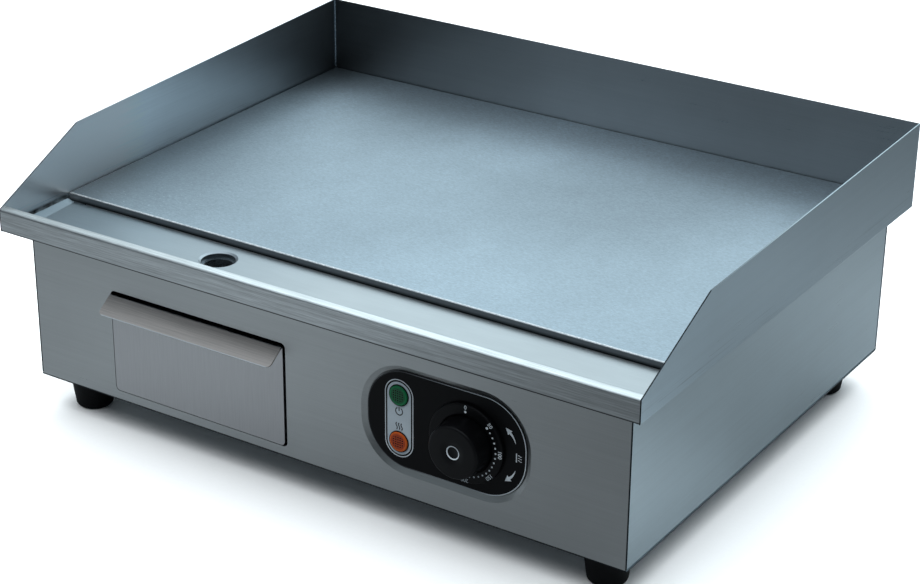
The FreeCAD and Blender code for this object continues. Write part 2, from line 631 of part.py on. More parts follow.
def back_panel():
    """Removable back with two banks of vent slots, the cord entry and the bonding stud's hole."""
    rear = BODY_BACK
    panel = box(-BODY_HALF, BODY_HALF, rear - SHEET, rear, BASE_TOP, SEAT)
    middle = (BASE_TOP + SEAT) / 2
    for side in (-1, 1):
        for i in range(VENT_COUNT):
            z = middle + (i - (VENT_COUNT - 1) / 2) * VENT_PITCH
            slot = rounded_plate(side * VENT_X, z, VENT_LENGTH, VENT_WIDTH, VENT_WIDTH / 2 - VENT_END,
                                 rear - 2 * SHEET, 3 * SHEET)
            panel = panel.cut(slot)
    for x, radius in ((GLAND_X, GLAND_THREAD), (BOND_X, BOND_RADIUS)):
        panel = panel.cut(rod(radius + SCREW_CLEARANCE, Vector(x, rear, GLAND_Z), -Y_AXIS, 2 * SHEET))
    neck = RESET_RADIUS - SHEET + SCREW_CLEARANCE
    panel = panel.cut(rod(neck, Vector(CUTOUT_X, rear, GLAND_Z), -Y_AXIS, 2 * SHEET))
    for p in rear_screw_places():
        panel = panel.cut(rod(M4 + SCREW_CLEARANCE, p, -Y_AXIS, 2 * SHEET))
    return panel


def base_plate():
    """Floor of the body, with vent slots, on which everything low down is fastened."""
    plate = box(-BODY_HALF, BODY_HALF, BODY_FRONT, BODY_BACK, FOOT_HEIGHT, BASE_TOP)
    thick = 3 * SHEET
    for x, y in FEET.values():
        plate = plate.cut(rod(M6 + SCREW_CLEARANCE, Vector(x, y, FOOT_HEIGHT - SHEET), Z_AXIS, thick))
    for p in base_screw_places():
        plate = plate.cut(rod(M4 + SCREW_CLEARANCE, p - Z_AXIS * SHEET, Z_AXIS, thick))
    for i in range(VENT_COUNT):
        for x in (VENT_X, -VENT_X / 2):
            y = BODY_BACK - 2 * FLANGE - VENT_LENGTH / 2 - i * VENT_PITCH
            slot = box(x - VENT_LENGTH / 2, x + VENT_LENGTH / 2, y - VENT_WIDTH / 2, y + VENT_WIDTH / 2,
                       FOOT_HEIGHT - SHEET, BASE_TOP + SHEET)
            plate = plate.cut(slot)
    return plate


# ---------------------------------------------------------------- feet
def foot(x, y):
    """Tapered rubber foot with a recess for its screw."""
    web = FOOT_HEIGHT - FOOT_RECESS_DEPTH
    outline = [(FOOT_RECESS, 0), (FOOT_BOTTOM_RADIUS - FOOT_EDGE, 0)]
    slope = (FOOT_TOP_RADIUS - FOOT_BOTTOM_RADIUS) / FOOT_HEIGHT
    for i in range(1, EDGE_STEPS + 1):
        a = math.pi / 2 * i / EDGE_STEPS
        r = FOOT_BOTTOM_RADIUS - FOOT_EDGE + FOOT_EDGE * math.sin(a) + slope * FOOT_EDGE * i / EDGE_STEPS
        outline.append((r, FOOT_EDGE * (1 - math.cos(a))))
    outline += [(FOOT_TOP_RADIUS, FOOT_HEIGHT), (M6 + SCREW_CLEARANCE, FOOT_HEIGHT),
                (M6 + SCREW_CLEARANCE, FOOT_HEIGHT - web), (FOOT_RECESS, FOOT_HEIGHT - web)]
    return turned(outline, Vector(x, y, 0), "z")


def foot_screw(x, y):
    """Screw from the foot's recess up through the base plate and its nut."""
    length = FOOT_HEIGHT - FOOT_RECESS_DEPTH + SHEET + NUT_HEIGHT + SHEET
    return screw(M6, length, Vector(x, y, FOOT_RECESS_DEPTH), Z_AXIS)


# ---------------------------------------------------------------- drawer
def drawer_front():
    """Drawer face with its folded-over pull lip."""
    lip_tip = (BODY_FRONT - LIP_OUT, FACE_TOP - LIP_DOWN)
    skin = [lip_tip, (BODY_FRONT + SHEET, FACE_TOP), (BODY_FRONT + SHEET, FACE_BOTTOM)]
    front = folded(skin, SHEET, "x", FACE_LEFT, FACE_RIGHT, [BEND])
    slant = math.hypot(LIP_OUT + SHEET, LIP_DOWN)
    along = Vector(0, -(LIP_OUT + SHEET) / slant, -LIP_DOWN / slant)
    normal = Vector(0, -along.z, along.y)
    tip = Vector(0, lip_tip[0], lip_tip[1])
    for x, side in ((FACE_LEFT, 1), (FACE_RIGHT, -1)):
        front = front.cut(corner_waste(Vector(x, tip.y, tip.z), X_AXIS * side, -along, normal, LIP_CORNER))
        low = Vector(x, BODY_FRONT, FACE_BOTTOM)
        front = front.cut(corner_waste(low, X_AXIS * side, Z_AXIS, Y_AXIS,
                                       OPENING_CORNER - DRAWER_GAP_BOTTOM))
    return front


def corner_waste(corner, along_a, along_b, through, radius):
    """What a rounded corner removes: the square at the corner, less its quarter disc."""
    square = [corner, corner + along_a * radius, corner + along_b * radius]
    centre = corner + along_a * radius + along_b * radius
    middle = centre - (along_a + along_b).normalize() * radius
    edges = [Part.LineSegment(square[0], square[1]).toShape(),
             Part.Arc(square[1], middle, square[2]).toShape(),
             Part.LineSegment(square[2], square[0]).toShape()]
    reach = through * (4 * SHEET)
    face = Part.Face(Part.Wire(edges))
    face.translate(reach * -0.5)
    return face.extrude(reach)


def uprights(block):
    return [e for e in block.Edges if e.BoundBox.XLength < 1e-6 and e.BoundBox.YLength < 1e-6]


def pressed(block, corner, foot_radius):
    """Block with rounded upright edges and a rounded bottom edge."""
    block = block.makeFillet(corner, uprights(block))
    bottom = block.BoundBox.ZMin
    return block.makeFillet(foot_radius, [e for e in block.Edges if e.BoundBox.ZMax < bottom + 1e-6])


def drawer_tray():
    """Open pan behind the drawer face, with a rolled rim."""
    y1 = TRAY_FRONT + TRAY_LENGTH
    pan = box(TRAY_LEFT, TRAY_RIGHT, TRAY_FRONT, y1, TRAY_BOTTOM, TRAY_TOP)
    pan = pressed(pan, TRAY_CORNER, TRAY_FOOT)
    hollow = box(TRAY_LEFT + TRAY_SHEET, TRAY_RIGHT - TRAY_SHEET, TRAY_FRONT + TRAY_SHEET, y1 - TRAY_SHEET,
                 TRAY_BOTTOM + TRAY_SHEET, TRAY_TOP + SHEET)
    hollow = pressed(hollow, TRAY_CORNER - TRAY_SHEET, TRAY_FOOT - TRAY_SHEET)
    pan = pan.cut(hollow)
    hem_low = TRAY_TOP - 3 * TRAY_HEM
    hem = box(TRAY_LEFT + TRAY_SHEET, TRAY_RIGHT - TRAY_SHEET, TRAY_FRONT + TRAY_SHEET, y1 - TRAY_SHEET,
              hem_low, TRAY_TOP)
    hem = hem.makeFillet(TRAY_CORNER - TRAY_SHEET, uprights(hem))
    wall = TRAY_SHEET + TRAY_HEM
    inner = box(TRAY_LEFT + wall, TRAY_RIGHT - wall, TRAY_FRONT + wall, y1 - wall, hem_low - SHEET,
                TRAY_TOP + SHEET)
    return pan.fuse(hem.cut(inner)).removeSplitter()


def runner(side):
    """Folded rail under one edge of the tray: upright guide, ledge, riser and foot."""
    guide = (TRAY_LEFT if side < 0 else -TRAY_RIGHT) - RUNNER_CLEARANCE
    ledge = TRAY_BOTTOM - RUNNER_CLEARANCE
    low = BASE_TOP + SHEET
    skin = [(guide, ledge + RUNNER_GUIDE), (guide, ledge), (guide + RUNNER_LEDGE, ledge),
            (guide + RUNNER_LEDGE, low), (guide + RUNNER_LEDGE + RUNNER_FOOT, low)]
    rail = folded(skin, SHEET, "y", BODY_FRONT + FLANGE + SHEET, TRAY_FRONT + TRAY_LENGTH)
    return rail if side < 0 else mirrored(rail)


# ---------------------------------------------------------------- controls
def control_fascia():
    gap = RECESS_SLOPE + FASCIA_GAP
    plate = rounded_plate(CONTROL_X, CONTROL_Z, RECESS_WIDTH - 2 * gap, RECESS_HEIGHT - 2 * gap,
                          RECESS_CORNER - gap, FASCIA_FACE, FASCIA)
    for hole in control_holes():
        plate = plate.cut(hole)
    return plate


def lamp_lens(z):
    """Domed lens that passes through fascia and panel."""
    front = FASCIA_FACE - LAMP_PROUD
    lens = rod(LAMP_RADIUS, Vector(LAMP_X, front, z), Y_AXIS, PANEL_REAR + LAMP_TAIL - front)
    rim = [e for e in lens.Edges if e.BoundBox.YMax < front + 1e-6]
    return lens.makeFillet(LAMP_ROUND, rim)


def lamp_holder(z):
    """Lamp body behind the panel with two blade terminals."""
    holder = rod(HOLDER_RADIUS, Vector(LAMP_X, PANEL_REAR, z), Y_AXIS, HOLDER_LENGTH)
    start = Vector(LAMP_X, PANEL_REAR, z)
    socket = rod(LAMP_RADIUS + LAMP_CLEARANCE, start, Y_AXIS, LAMP_TAIL + SCREW_CLEARANCE)
    holder = holder.cut(socket)
    tail = PANEL_REAR + HOLDER_LENGTH
    for side in (-1, 1):
        x = LAMP_X + side * HOLDER_RADIUS / 2
        blade = box(x - TAB_THICKNESS / 2, x + TAB_THICKNESS / 2, tail - TAB_LENGTH, tail + TAB_LENGTH,
                    z - TAB_WIDTH / 2, z + TAB_WIDTH / 2)
        holder = holder.fuse(blade)
    return holder.removeSplitter()


def dial_ring():
    """Fixed scale ring round the knob."""
    top, edge = DIAL_HEIGHT, DIAL_EDGE
    outline = [(DIAL_BORE, 0), (DIAL_RADIUS, 0), (DIAL_RADIUS - edge / 3, top - edge),
               (DIAL_RADIUS - edge, top - edge / 4), (DIAL_RADIUS - 2 * edge, top), (DIAL_BORE + edge, top),
               (DIAL_BORE, top - edge / 2)]
    return turned(outline, Vector(DIAL_X, FASCIA_FACE, DIAL_Z), "y")


def knob():
    """Hollow moulded knob with a dished face, a hub for the spindle and a moulded pointer rib."""
    length, wall, edge = KNOB_LENGTH, KNOB_WALL, KNOB_EDGE
    outline = [(0, 0), (KNOB_BASE_RADIUS, 0), (KNOB_FRONT_RADIUS, length - edge)]
    for i in range(1, EDGE_STEPS + 1):
        a = math.pi / 2 * i / EDGE_STEPS
        outline.append((KNOB_FRONT_RADIUS - edge * (1 - math.cos(a)), length - edge * (1 - math.sin(a))))
    for i in range(DISH_STEPS + 1):
        r = DISH_RADIUS * (1 - i / DISH_STEPS)
        outline.append((r, length - DISH_DEPTH * 0.5 * (1 + math.cos(math.pi * r / DISH_RADIUS))))
    body = turned(outline, Vector(0, 0, 0), "y")
    inner = KNOB_FRONT_RADIUS - wall
    body = body.cut(rod(inner, Vector(0, 0, 0), -Y_AXIS, length - wall - DISH_DEPTH))
    body = body.fuse(rod(KNOB_HUB, Vector(0, 0, 0), -Y_AXIS, length - wall))
    rib = box(-POINTER_WIDTH / 2, POINTER_WIDTH / 2, -length + 2 * edge, -edge, KNOB_FRONT_RADIUS - wall / 2,
              KNOB_FRONT_RADIUS + POINTER_PROUD)
    body = body.fuse(rib)
    body = body.cut(d_shaft(SPINDLE_RADIUS + SPINDLE_FIT, SPINDLE_FLAT + SPINDLE_FIT, 0, SPINDLE_IN_KNOB))
    body.translate(Vector(DIAL_X, KNOB_BACK, DIAL_Z))
    return body.removeSplitter()


def d_shaft(radius, flat, behind, ahead):
    """D-section bar on the Y axis, from y = behind to y = -ahead, flat side up."""
    bar = rod(radius, Vector(0, behind, 0), -Y_AXIS, behind + ahead)
    return bar.cut(box(-radius, radius, -ahead, behind, flat, radius + SHEET))


def spindle():
    """Thermostat spindle: round where it runs in the bush, D-shaped in the knob."""
    in_thermostat = PANEL_REAR - KNOB_BACK + THERMOSTAT_DEPTH / 3
    bar = d_shaft(SPINDLE_RADIUS, SPINDLE_FLAT, 0, SPINDLE_IN_KNOB - 2 * SPINDLE_FIT)
    bar = bar.fuse(rod(SPINDLE_RADIUS, Vector(0, in_thermostat, 0), -Y_AXIS, in_thermostat))
    bar.translate(Vector(DIAL_X, KNOB_BACK, DIAL_Z))
    return bar.removeSplitter()


def thermostat_screw_places():
    return [Vector(DIAL_X + side * THERMOSTAT_SCREWS / 2, FASCIA_FACE, DIAL_Z) for side in (-1, 1)]


def thermostat():
    """Capillary thermostat behind the panel, with its bush, screw holes, blind spindle bore and blades."""
    rear = PANEL_REAR + THERMOSTAT_DEPTH
    body = rounded_plate(DIAL_X, DIAL_Z, THERMOSTAT_SIZE, THERMOSTAT_HEIGHT, THERMOSTAT_CORNER, PANEL_REAR,
                         THERMOSTAT_DEPTH)
    through = PANEL_REAR - FASCIA_FACE
    mouth = Vector(DIAL_X, FASCIA_FACE, DIAL_Z)
    body = body.fuse(rod(BUSH_RADIUS, mouth, Y_AXIS, through + SHEET))
    body = body.cut(rod(SPINDLE_RADIUS + SPINDLE_FIT, mouth, Y_AXIS, through + THERMOSTAT_DEPTH / 3 + SHEET))
    for p in thermostat_screw_places():
        body = body.cut(rod(M3 + SCREW_CLEARANCE, Vector(p.x, PANEL_REAR, p.z), Y_AXIS, BASE_SCREW_LENGTH))
    for x in (DIAL_X - THERMOSTAT_TABS / 2, DIAL_X + THERMOSTAT_TABS / 2):
        for z in (DIAL_Z - THERMOSTAT_TAB_ROWS / 2, DIAL_Z + THERMOSTAT_TAB_ROWS / 2):
            blade = box(x - TAB_WIDTH / 2, x + TAB_WIDTH / 2, rear - SHEET, rear + TAB_LENGTH,
                        z - TAB_THICKNESS / 2, z + TAB_THICKNESS / 2)
            body = body.fuse(blade)
    return body.removeSplitter()


# ---------------------------------------------------------------- heating
def element_rows():
    """The Y of every straight run, two to a hairpin, evenly spread under the plate."""
    first = STACK_FRONT + ELEMENT_MARGIN / 2
    last = STACK_BACK - ELEMENT_MARGIN / 2
    pitch = (last - first) / (2 * ELEMENT_COUNT - 1)
    return [first + i * pitch for i in range(2 * ELEMENT_COUNT)]


def heating_element(index):
    """Hairpin tubular element pressed against the plate, with both cold ends turned down."""
    y0, y1 = element_rows()[2 * index:2 * index + 2]
    z = PLATE_BOTTOM - ELEMENT_RADIUS
    turn = (y1 - y0) / 2 - TURN_FLAT
    far = -(BODY_HALF - SHEET - ELEMENT_TURN_MARGIN)
    low = z - ELEMENT_DROP + ELEMENT_RADIUS
    points = [Vector(ELEMENT_X, y0, low), Vector(ELEMENT_X, y0, z), Vector(far, y0, z), Vector(far, y1, z),
              Vector(ELEMENT_X, y1, z), Vector(ELEMENT_X, y1, low)]
    return pipe(points, ELEMENT_RADIUS, [ELEMENT_BEND, turn, turn, ELEMENT_BEND])


def element_terminal(index):
    """Ceramic beads and threaded pins on an element's two cold ends."""
    rows = element_rows()[2 * index:2 * index + 2]
    top = PLATE_BOTTOM - ELEMENT_DROP
    solids = []
    for y in rows:
        bead = rod(BEAD_RADIUS, Vector(ELEMENT_X, y, top), -Z_AXIS, BEAD_HEIGHT)
        pin = rod(PIN_RADIUS, Vector(ELEMENT_X, y, ELEMENT_PIN), Z_AXIS, PIN_LENGTH + SHEET)
        solids.append(bead.fuse(pin).removeSplitter())
    return solids


def stud_places():
    rows = element_rows()
    gaps = [(rows[i] + rows[i + 1]) / 2 for i in (0, ELEMENT_COUNT - 1, 2 * ELEMENT_COUNT - 2)]
    return [(x * STUD_X_PITCH, y) for x in (-1, 0, 1) for y in gaps]


def stack_sheet(bottom, top):
    """One layer under the plate, pierced for the studs."""
    layer = box(STACK_LEFT, STACK_RIGHT, STACK_FRONT, STACK_BACK, bottom, top)
    for x, y in stud_places():
        layer = layer.cut(rod(STUD_RADIUS + STUD_CLEARANCE, Vector(x, y, bottom), Z_AXIS, top - bottom))
    return layer


def sensor_bulb():
    """Thermostat's sensing bulb under the plate, between two element runs."""
    rows = element_rows()
    y = (rows[1] + rows[2]) / 2
    z = PLATE_BOTTOM - BULB_RADIUS
    x0 = DIAL_X - BULB_LENGTH / 2
    return rod(BULB_RADIUS, Vector(x0, y, z), X_AXIS, BULB_LENGTH)


def bulb_saddles():
    """Two blocks on the clamp plate that press the bulb against the cooking plate."""
    bulb = sensor_bulb()
    middle = bulb.BoundBox.Center
    blocks = []
    for side in (-1, 1):
        x = middle.x + side * BULB_LENGTH / 4
        block = box(x - BULB_RADIUS, x + BULB_RADIUS, middle.y - 2 * BULB_RADIUS, middle.y + 2 * BULB_RADIUS,
                    CLAMP_TOP, middle.z)
        blocks.append(block.cut(bulb))
    return blocks


def capillary():
    """Thin copper tube from the bulb round the stack's edge to the back of the thermostat."""
    rows = element_rows()
    y = (rows[1] + rows[2]) / 2
    z = PLATE_BOTTOM - BULB_RADIUS
    x0 = DIAL_X + BULB_LENGTH / 2
    beyond = STACK_RIGHT + CAPILLARY_RADIUS * 4
    rear = PANEL_REAR + THERMOSTAT_DEPTH
    slack = rear + CAPILLARY_SLACK
    low = CONTROL_Z + THERMOSTAT_HEIGHT / 4
    points = [Vector(x0, y, z), Vector(beyond, y, z), Vector(beyond, y, SHIELD_BOTTOM - CAPILLARY_DROP),
              Vector(beyond, slack, low), Vector(DIAL_X, slack, DIAL_Z), Vector(DIAL_X, rear, DIAL_Z)]
    return pipe(points, CAPILLARY_RADIUS, [CAPILLARY_BEND] * 4)


# ---------------------------------------------------------------- supply
def cable_gland():
    """Cord entry in the back panel: flange and domed collar outside, threaded barrel inside."""
    inner, rim = -GLAND_IN, GLAND_RIM
    outline = [(GLAND_BORE, inner), (GLAND_THREAD, inner), (GLAND_THREAD, 0), (GLAND_FLANGE, 0),
               (GLAND_FLANGE, rim - SHEET), (GLAND_FLANGE - SHEET, rim), (GLAND_THREAD, rim),
               (GLAND_BORE + GLAND_DOME, GLAND_OUT), (GLAND_BORE, GLAND_OUT)]
    return turned([(r, -a) for r, a in outline], Vector(GLAND_X, BODY_BACK, GLAND_Z), "y")


def gland_nut():
    """Nut that clamps the gland from inside."""
    inside = Vector(GLAND_X, BODY_BACK - SHEET, GLAND_Z)
    return hexagon(GLAND_NUT_FLATS, GLAND_NUT_HEIGHT, inside, GLAND_THREAD + THREAD_GAP, -Y_AXIS)


def bonding_stud():
    """Equipotential stud through the back panel."""
    start = Vector(BOND_X, BODY_BACK + BOND_OUT, GLAND_Z)
    return rod(BOND_RADIUS, start, -Y_AXIS, BOND_OUT + SHEET + BOND_IN)


def bonding_nuts():
    """The stud's nuts, outside and inside."""
    bore = BOND_RADIUS + THREAD_GAP
    outer, inner = Vector(BOND_X, BODY_BACK, GLAND_Z), Vector(BOND_X, BODY_BACK - SHEET, GLAND_Z)
    return (hexagon(BOND_NUT_FLATS, BOND_NUT_OUTSIDE, outer, bore, Y_AXIS),
            hexagon(BOND_NUT_FLATS, BOND_NUT_INSIDE, inner, bore, -Y_AXIS))


def safety_cutout():
    """Overheat cut-out on the back panel's inside, its reset cap reaching through to the outside."""
    inside = BODY_BACK - SHEET
    body = rounded_plate(CUTOUT_X, GLAND_Z, CUTOUT_SIZE, CUTOUT_SIZE, CUTOUT_CORNER, inside - CUTOUT_DEPTH,
                         CUTOUT_DEPTH)
    neck = rod(RESET_RADIUS - SHEET, Vector(CUTOUT_X, inside - SHEET, GLAND_Z), Y_AXIS, 3 * SHEET)
    cap = rod(RESET_RADIUS, Vector(CUTOUT_X, BODY_BACK, GLAND_Z), Y_AXIS, RESET_OUT)
    rim = [e for e in cap.Edges if e.BoundBox.YMin > BODY_BACK + RESET_OUT - 1e-6]
    cap = cap.makeFillet(RESET_ROUND, rim)
    return body.fuse(neck).fuse(cap).removeSplitter()


def terminal_block():
    """Three-way ceramic block for the supply, with its clamp screws' pockets."""
    y = BODY_BACK - TERMINAL_FROM_BACK
    block = box(TERMINAL_X - TERMINAL_LENGTH / 2, TERMINAL_X + TERMINAL_LENGTH / 2, y - TERMINAL_WIDTH / 2,
                y + TERMINAL_WIDTH / 2, BASE_TOP, BASE_TOP + TERMINAL_HEIGHT)
    pitch = TERMINAL_LENGTH / 3
    for i in (-1, 0, 1):
        x = TERMINAL_X + i * pitch
        middle = Vector(x, y, BASE_TOP + TERMINAL_HEIGHT / 2)
        block = block.cut(rod(TERMINAL_POCKET, middle, Z_AXIS, TERMINAL_HEIGHT))
        block = block.cut(rod(TERMINAL_BORE, middle + Y_AXIS * TERMINAL_WIDTH, -Y_AXIS, 2 * TERMINAL_WIDTH))
    return block


def lead(*points):
    return pipe([Vector(*p) for p in points], LEAD_RADIUS, [LEAD_BEND] * (len(points) - 2))


def live_leads():
    """Supply to thermostat, and thermostat to the elements' front ends."""
    y = BODY_BACK - TERMINAL_FROM_BACK - TERMINAL_WIDTH / 2
    z = BASE_TOP + TERMINAL_HEIGHT / 2
    rear = PANEL_REAR + THERMOSTAT_DEPTH + TAB_LENGTH
    x = TERMINAL_X - TERMINAL_LENGTH / 3
    across, tab = THERMOSTAT_TABS / 2, DIAL_Z - THERMOSTAT_TAB_ROWS / 2
    supply = lead((x, y, z), (x, y - 60, z), (x - 24, rear + 90, z), (DIAL_X - across, rear + 40, tab),
                  (DIAL_X - across, rear, tab))
    row, pin = element_rows()[0], ELEMENT_PIN
    heater = lead((DIAL_X + across, rear, tab), (DIAL_X + across, rear + LEAD_HANG, tab),
                  (ELEMENT_X, row - LEAD_HANG / 2, pin - LEAD_HANG), (ELEMENT_X, row, pin - LEAD_HANG / 2),
                  (ELEMENT_X, row, pin))
    return supply, heater


def neutral_lead():
    """Terminal block to the elements' back end."""
    y = BODY_BACK - TERMINAL_FROM_BACK - TERMINAL_WIDTH / 2
    z = BASE_TOP + TERMINAL_HEIGHT / 2
    last, pin = element_rows()[-1], ELEMENT_PIN
    return lead((TERMINAL_X, y, z), (TERMINAL_X, y - 26, z + 10), (ELEMENT_X - 12, y - 30, z + 16),
                (ELEMENT_X, last - LEAD_HANG, pin - LEAD_HANG), (ELEMENT_X, last, pin - LEAD_HANG / 2),
                (ELEMENT_X, last, pin))


def earth_lead():
    """Terminal block along the back to the bonding stud."""
    y = BODY_BACK - TERMINAL_FROM_BACK - TERMINAL_WIDTH / 2
    z = BASE_TOP + TERMINAL_HEIGHT / 2
    x = TERMINAL_X + TERMINAL_LENGTH / 3
    end = BODY_BACK - SHEET - BOND_IN
    return lead((x, y, z), (x, y - 12, z), (x - 34, y - 44, z - 6), (-VENT_X, y - 34, z - 6),
                (BOND_X, end - 30, GLAND_Z), (BOND_X, end, GLAND_Z))


# ---------------------------------------------------------------- build
def build_surround():
    right = side_guard_right()
    save("right_splash_guard", right)
    save("left_splash_guard", mirrored(right))
    save("back_splash_guard", back_guard())
    save("front_gutter", gutter())
    save("drain_spout", drain_spout())
    save("griddle_plate", griddle_plate())
    save("plate_rail", plate_rail())


def build_body():
    right = side_panel_right()
    save("right_side_panel", right)
    save("left_side_panel", mirrored(right))
    save("front_panel", front_panel())
    save("back_panel", back_panel())
    save("base_plate", base_plate())
    save("back_panel_screws", *[screw(M4, BASE_SCREW_LENGTH, p, -Y_AXIS) for p in rear_screw_places()])
    save("base_screws", *[screw(M4, BASE_SCREW_LENGTH, p, Z_AXIS) for p in base_screw_places()])
    for name, (x, y) in FEET.items():
        save("foot_" + name, foot(x, y))
    save("foot_screws", *[foot_screw(x, y) for x, y in FEET.values()])
    save("foot_nuts", *[hexagon(NUT_FLATS, NUT_HEIGHT, Vector(x, y, BASE_TOP), M6 + THREAD_GAP)
                        for x, y in FEET.values()])


def build_drawer():
    save("drawer_front", drawer_front())
    save("drawer_tray", drawer_tray())
    save("left_drawer_runner", runner(-1))
    save("right_drawer_runner", runner(1))


def build_controls():
    save("control_fascia", control_fascia())
    for name, z in zip(("green", "amber"), lamp_heights()):
        save(name + "_lamp_lens", lamp_lens(z))
        save(name + "_lamp_holder", lamp_holder(z))
    save("dial_ring", dial_ring())
    save("thermostat_knob", knob())
    save("thermostat_spindle", spindle())
    save("thermostat_body", thermostat())
    save("thermostat_screws", *[screw(M3, BASE_SCREW_LENGTH, p, Y_AXIS) for p in thermostat_screw_places()])


def build_heating():
    for i in range(ELEMENT_COUNT):
        save("heating_element_%d" % (i + 1), heating_element(i))
    save("element_terminals", *[s for i in range(ELEMENT_COUNT) for s in element_terminal(i)])
    save("element_clamp_plate", stack_sheet(CLAMP_BOTTOM, CLAMP_TOP))
    save("insulation_blanket", stack_sheet(SHIELD_TOP, CLAMP_BOTTOM))
    save("heat_shield", stack_sheet(SHIELD_BOTTOM, SHIELD_TOP))
    length = PLATE_BOTTOM - SHIELD_BOTTOM + STUD_TAIL
    save("plate_studs", *[rod(STUD_RADIUS, Vector(x, y, PLATE_BOTTOM), -Z_AXIS, length)
                          for x, y in stud_places()])
    save("stud_nuts", *[hexagon(NUT_FLATS, NUT_HEIGHT, Vector(x, y, SHIELD_BOTTOM - NUT_HEIGHT),
                                STUD_RADIUS + THREAD_GAP) for x, y in stud_places()])
    save("sensor_bulb", sensor_bulb())
    save("bulb_saddles", *bulb_saddles())
    save("sensor_capillary", capillary())


def build_supply():
    save("cable_gland", cable_gland())
    save("cable_gland_nut", gland_nut())
    save("bonding_stud", bonding_stud())
    save("bonding_nuts", *bonding_nuts())
    save("safety_cutout", safety_cutout())
    save("terminal_block", terminal_block())
    save("live_leads", *live_leads())
    save("neutral_lead", neutral_lead())
    save("earth_lead", earth_lead())


build_surround()
build_body()
build_drawer()
build_controls()
build_heating()
build_supply()
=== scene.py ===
"""Counter-top electric griddle: finishes, printed controls and a plain studio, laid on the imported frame."""
import math
import bmesh
import bpy
from mathutils import Matrix, Vector


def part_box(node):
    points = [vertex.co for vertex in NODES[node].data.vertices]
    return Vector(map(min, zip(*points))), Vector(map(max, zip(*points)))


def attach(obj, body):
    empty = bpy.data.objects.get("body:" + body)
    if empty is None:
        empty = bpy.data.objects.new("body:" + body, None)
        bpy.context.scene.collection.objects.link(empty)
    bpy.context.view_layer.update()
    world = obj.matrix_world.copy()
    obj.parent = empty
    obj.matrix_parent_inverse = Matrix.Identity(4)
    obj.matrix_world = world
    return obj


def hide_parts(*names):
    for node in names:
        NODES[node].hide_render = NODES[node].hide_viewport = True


bl_info = {
    "name": "Counter-top Electric Griddle",
    "version": (1, 0, 0),
    "blender": (4, 5, 0),
    "location": "View3D > Sidebar > Griddle",
    "description": "Finishes, control panel print and studio for an electric griddle",
    "category": "Object",
}

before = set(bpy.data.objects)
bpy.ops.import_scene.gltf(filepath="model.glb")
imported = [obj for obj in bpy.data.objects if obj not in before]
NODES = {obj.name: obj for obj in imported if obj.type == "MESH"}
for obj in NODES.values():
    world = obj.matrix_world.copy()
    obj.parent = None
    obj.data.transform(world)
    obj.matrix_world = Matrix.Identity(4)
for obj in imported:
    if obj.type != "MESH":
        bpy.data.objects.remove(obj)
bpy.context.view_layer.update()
MM = 0.001

# ---------------------------------------------------------------- places, from the frame
FASCIA_LOW, FASCIA_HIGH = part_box("control_fascia")
RING_LOW, RING_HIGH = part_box("dial_ring")
KNOB_LOW, KNOB_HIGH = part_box("thermostat_knob")
GREEN_LOW, GREEN_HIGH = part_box("green_lamp_lens")
AMBER_LOW, AMBER_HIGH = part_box("amber_lamp_lens")
PLATE_LOW, PLATE_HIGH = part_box("griddle_plate")
GUTTER_LOW, GUTTER_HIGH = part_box("front_gutter")
GUARD_LOW, GUARD_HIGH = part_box("left_splash_guard")
BACK_LOW, BACK_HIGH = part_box("back_splash_guard")
PANEL_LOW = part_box("front_panel")[0]
DRAWER_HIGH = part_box("drawer_front")[1]
DIAL = Vector(((RING_LOW[0] + RING_HIGH[0]) / 2, RING_LOW[1], (RING_LOW[2] + RING_HIGH[2]) / 2))
LAMP_X = (GREEN_LOW[0] + GREEN_HIGH[0]) / 2
GREEN_Z = (GREEN_LOW[2] + GREEN_HIGH[2]) / 2
AMBER_Z = (AMBER_LOW[2] + AMBER_HIGH[2]) / 2
SEAT = GUARD_LOW[2]
LIP_TIP = DRAWER_HIGH[2] - 11 * MM
WELD_LINE = GUTTER_HIGH[2] - 14 * MM
SCRATCH_MM, SCRATCH_LENGTH_MM = 0.9, 70.0
BAND_MM, BAND_LENGTH_MM = 4.0, 260.0


# ---------------------------------------------------------------- small tools
def linear(hex_colour, alpha=1.0):
    """sRGB hex colour to the linear RGBA that Blender works in."""
    channels = [int(hex_colour[i:i + 2], 16) / 255 for i in (1, 3, 5)]
    return tuple(c / 12.92 if c <= 0.04045 else ((c + 0.055) / 1.055) ** 2.4 for c in channels) + (alpha,)


def add(tree, kind, inputs=None, **settings):
    """Adds a shader node: settings are its properties, inputs its sockets' values or incoming links."""
    node = tree.nodes.new("ShaderNode" + kind)
    for name, value in settings.items():
        setattr(node, name, value)
    for name, value in (inputs or {}).items():
        if isinstance(value, bpy.types.NodeSocket):
            tree.links.new(value, node.inputs[name])
        else:
            node.inputs[name].default_value = value
    return node


def material(name):
    """New material with one shader and its output, and object coordinates in metres."""
    made = bpy.data.materials.new(name)
    made.use_nodes = True
    tree = made.node_tree
    tree.nodes.clear()
    shader = add(tree, "BsdfPrincipled")
    add(tree, "OutputMaterial", {"Surface": shader.outputs["BSDF"]})
    place = add(tree, "TexCoord")
    return made, tree, shader, place


def noise(tree, place, cell_mm, detail=3.0, roughness=0.55):
    """Noise whose cells measure cell_mm = (x, y, z) millimetres on the object."""
    scale = [1 / (size * MM) for size in cell_mm]
    spread = add(tree, "Mapping", {"Vector": place.outputs["Object"], "Scale": scale})
    return add(tree, "TexNoise", {"Vector": spread.outputs["Vector"], "Scale": 1.0, "Detail": detail,
                                  "Roughness": roughness}).outputs["Fac"]


def between(tree, value, low, high, start=0.3, end=0.7):
    """Takes value from start..end to low..high, without running past either end."""
    return add(tree, "MapRange", {"Value": value, "From Min": start, "From Max": end, "To Min": low,
                                  "To Max": high}).outputs["Result"]


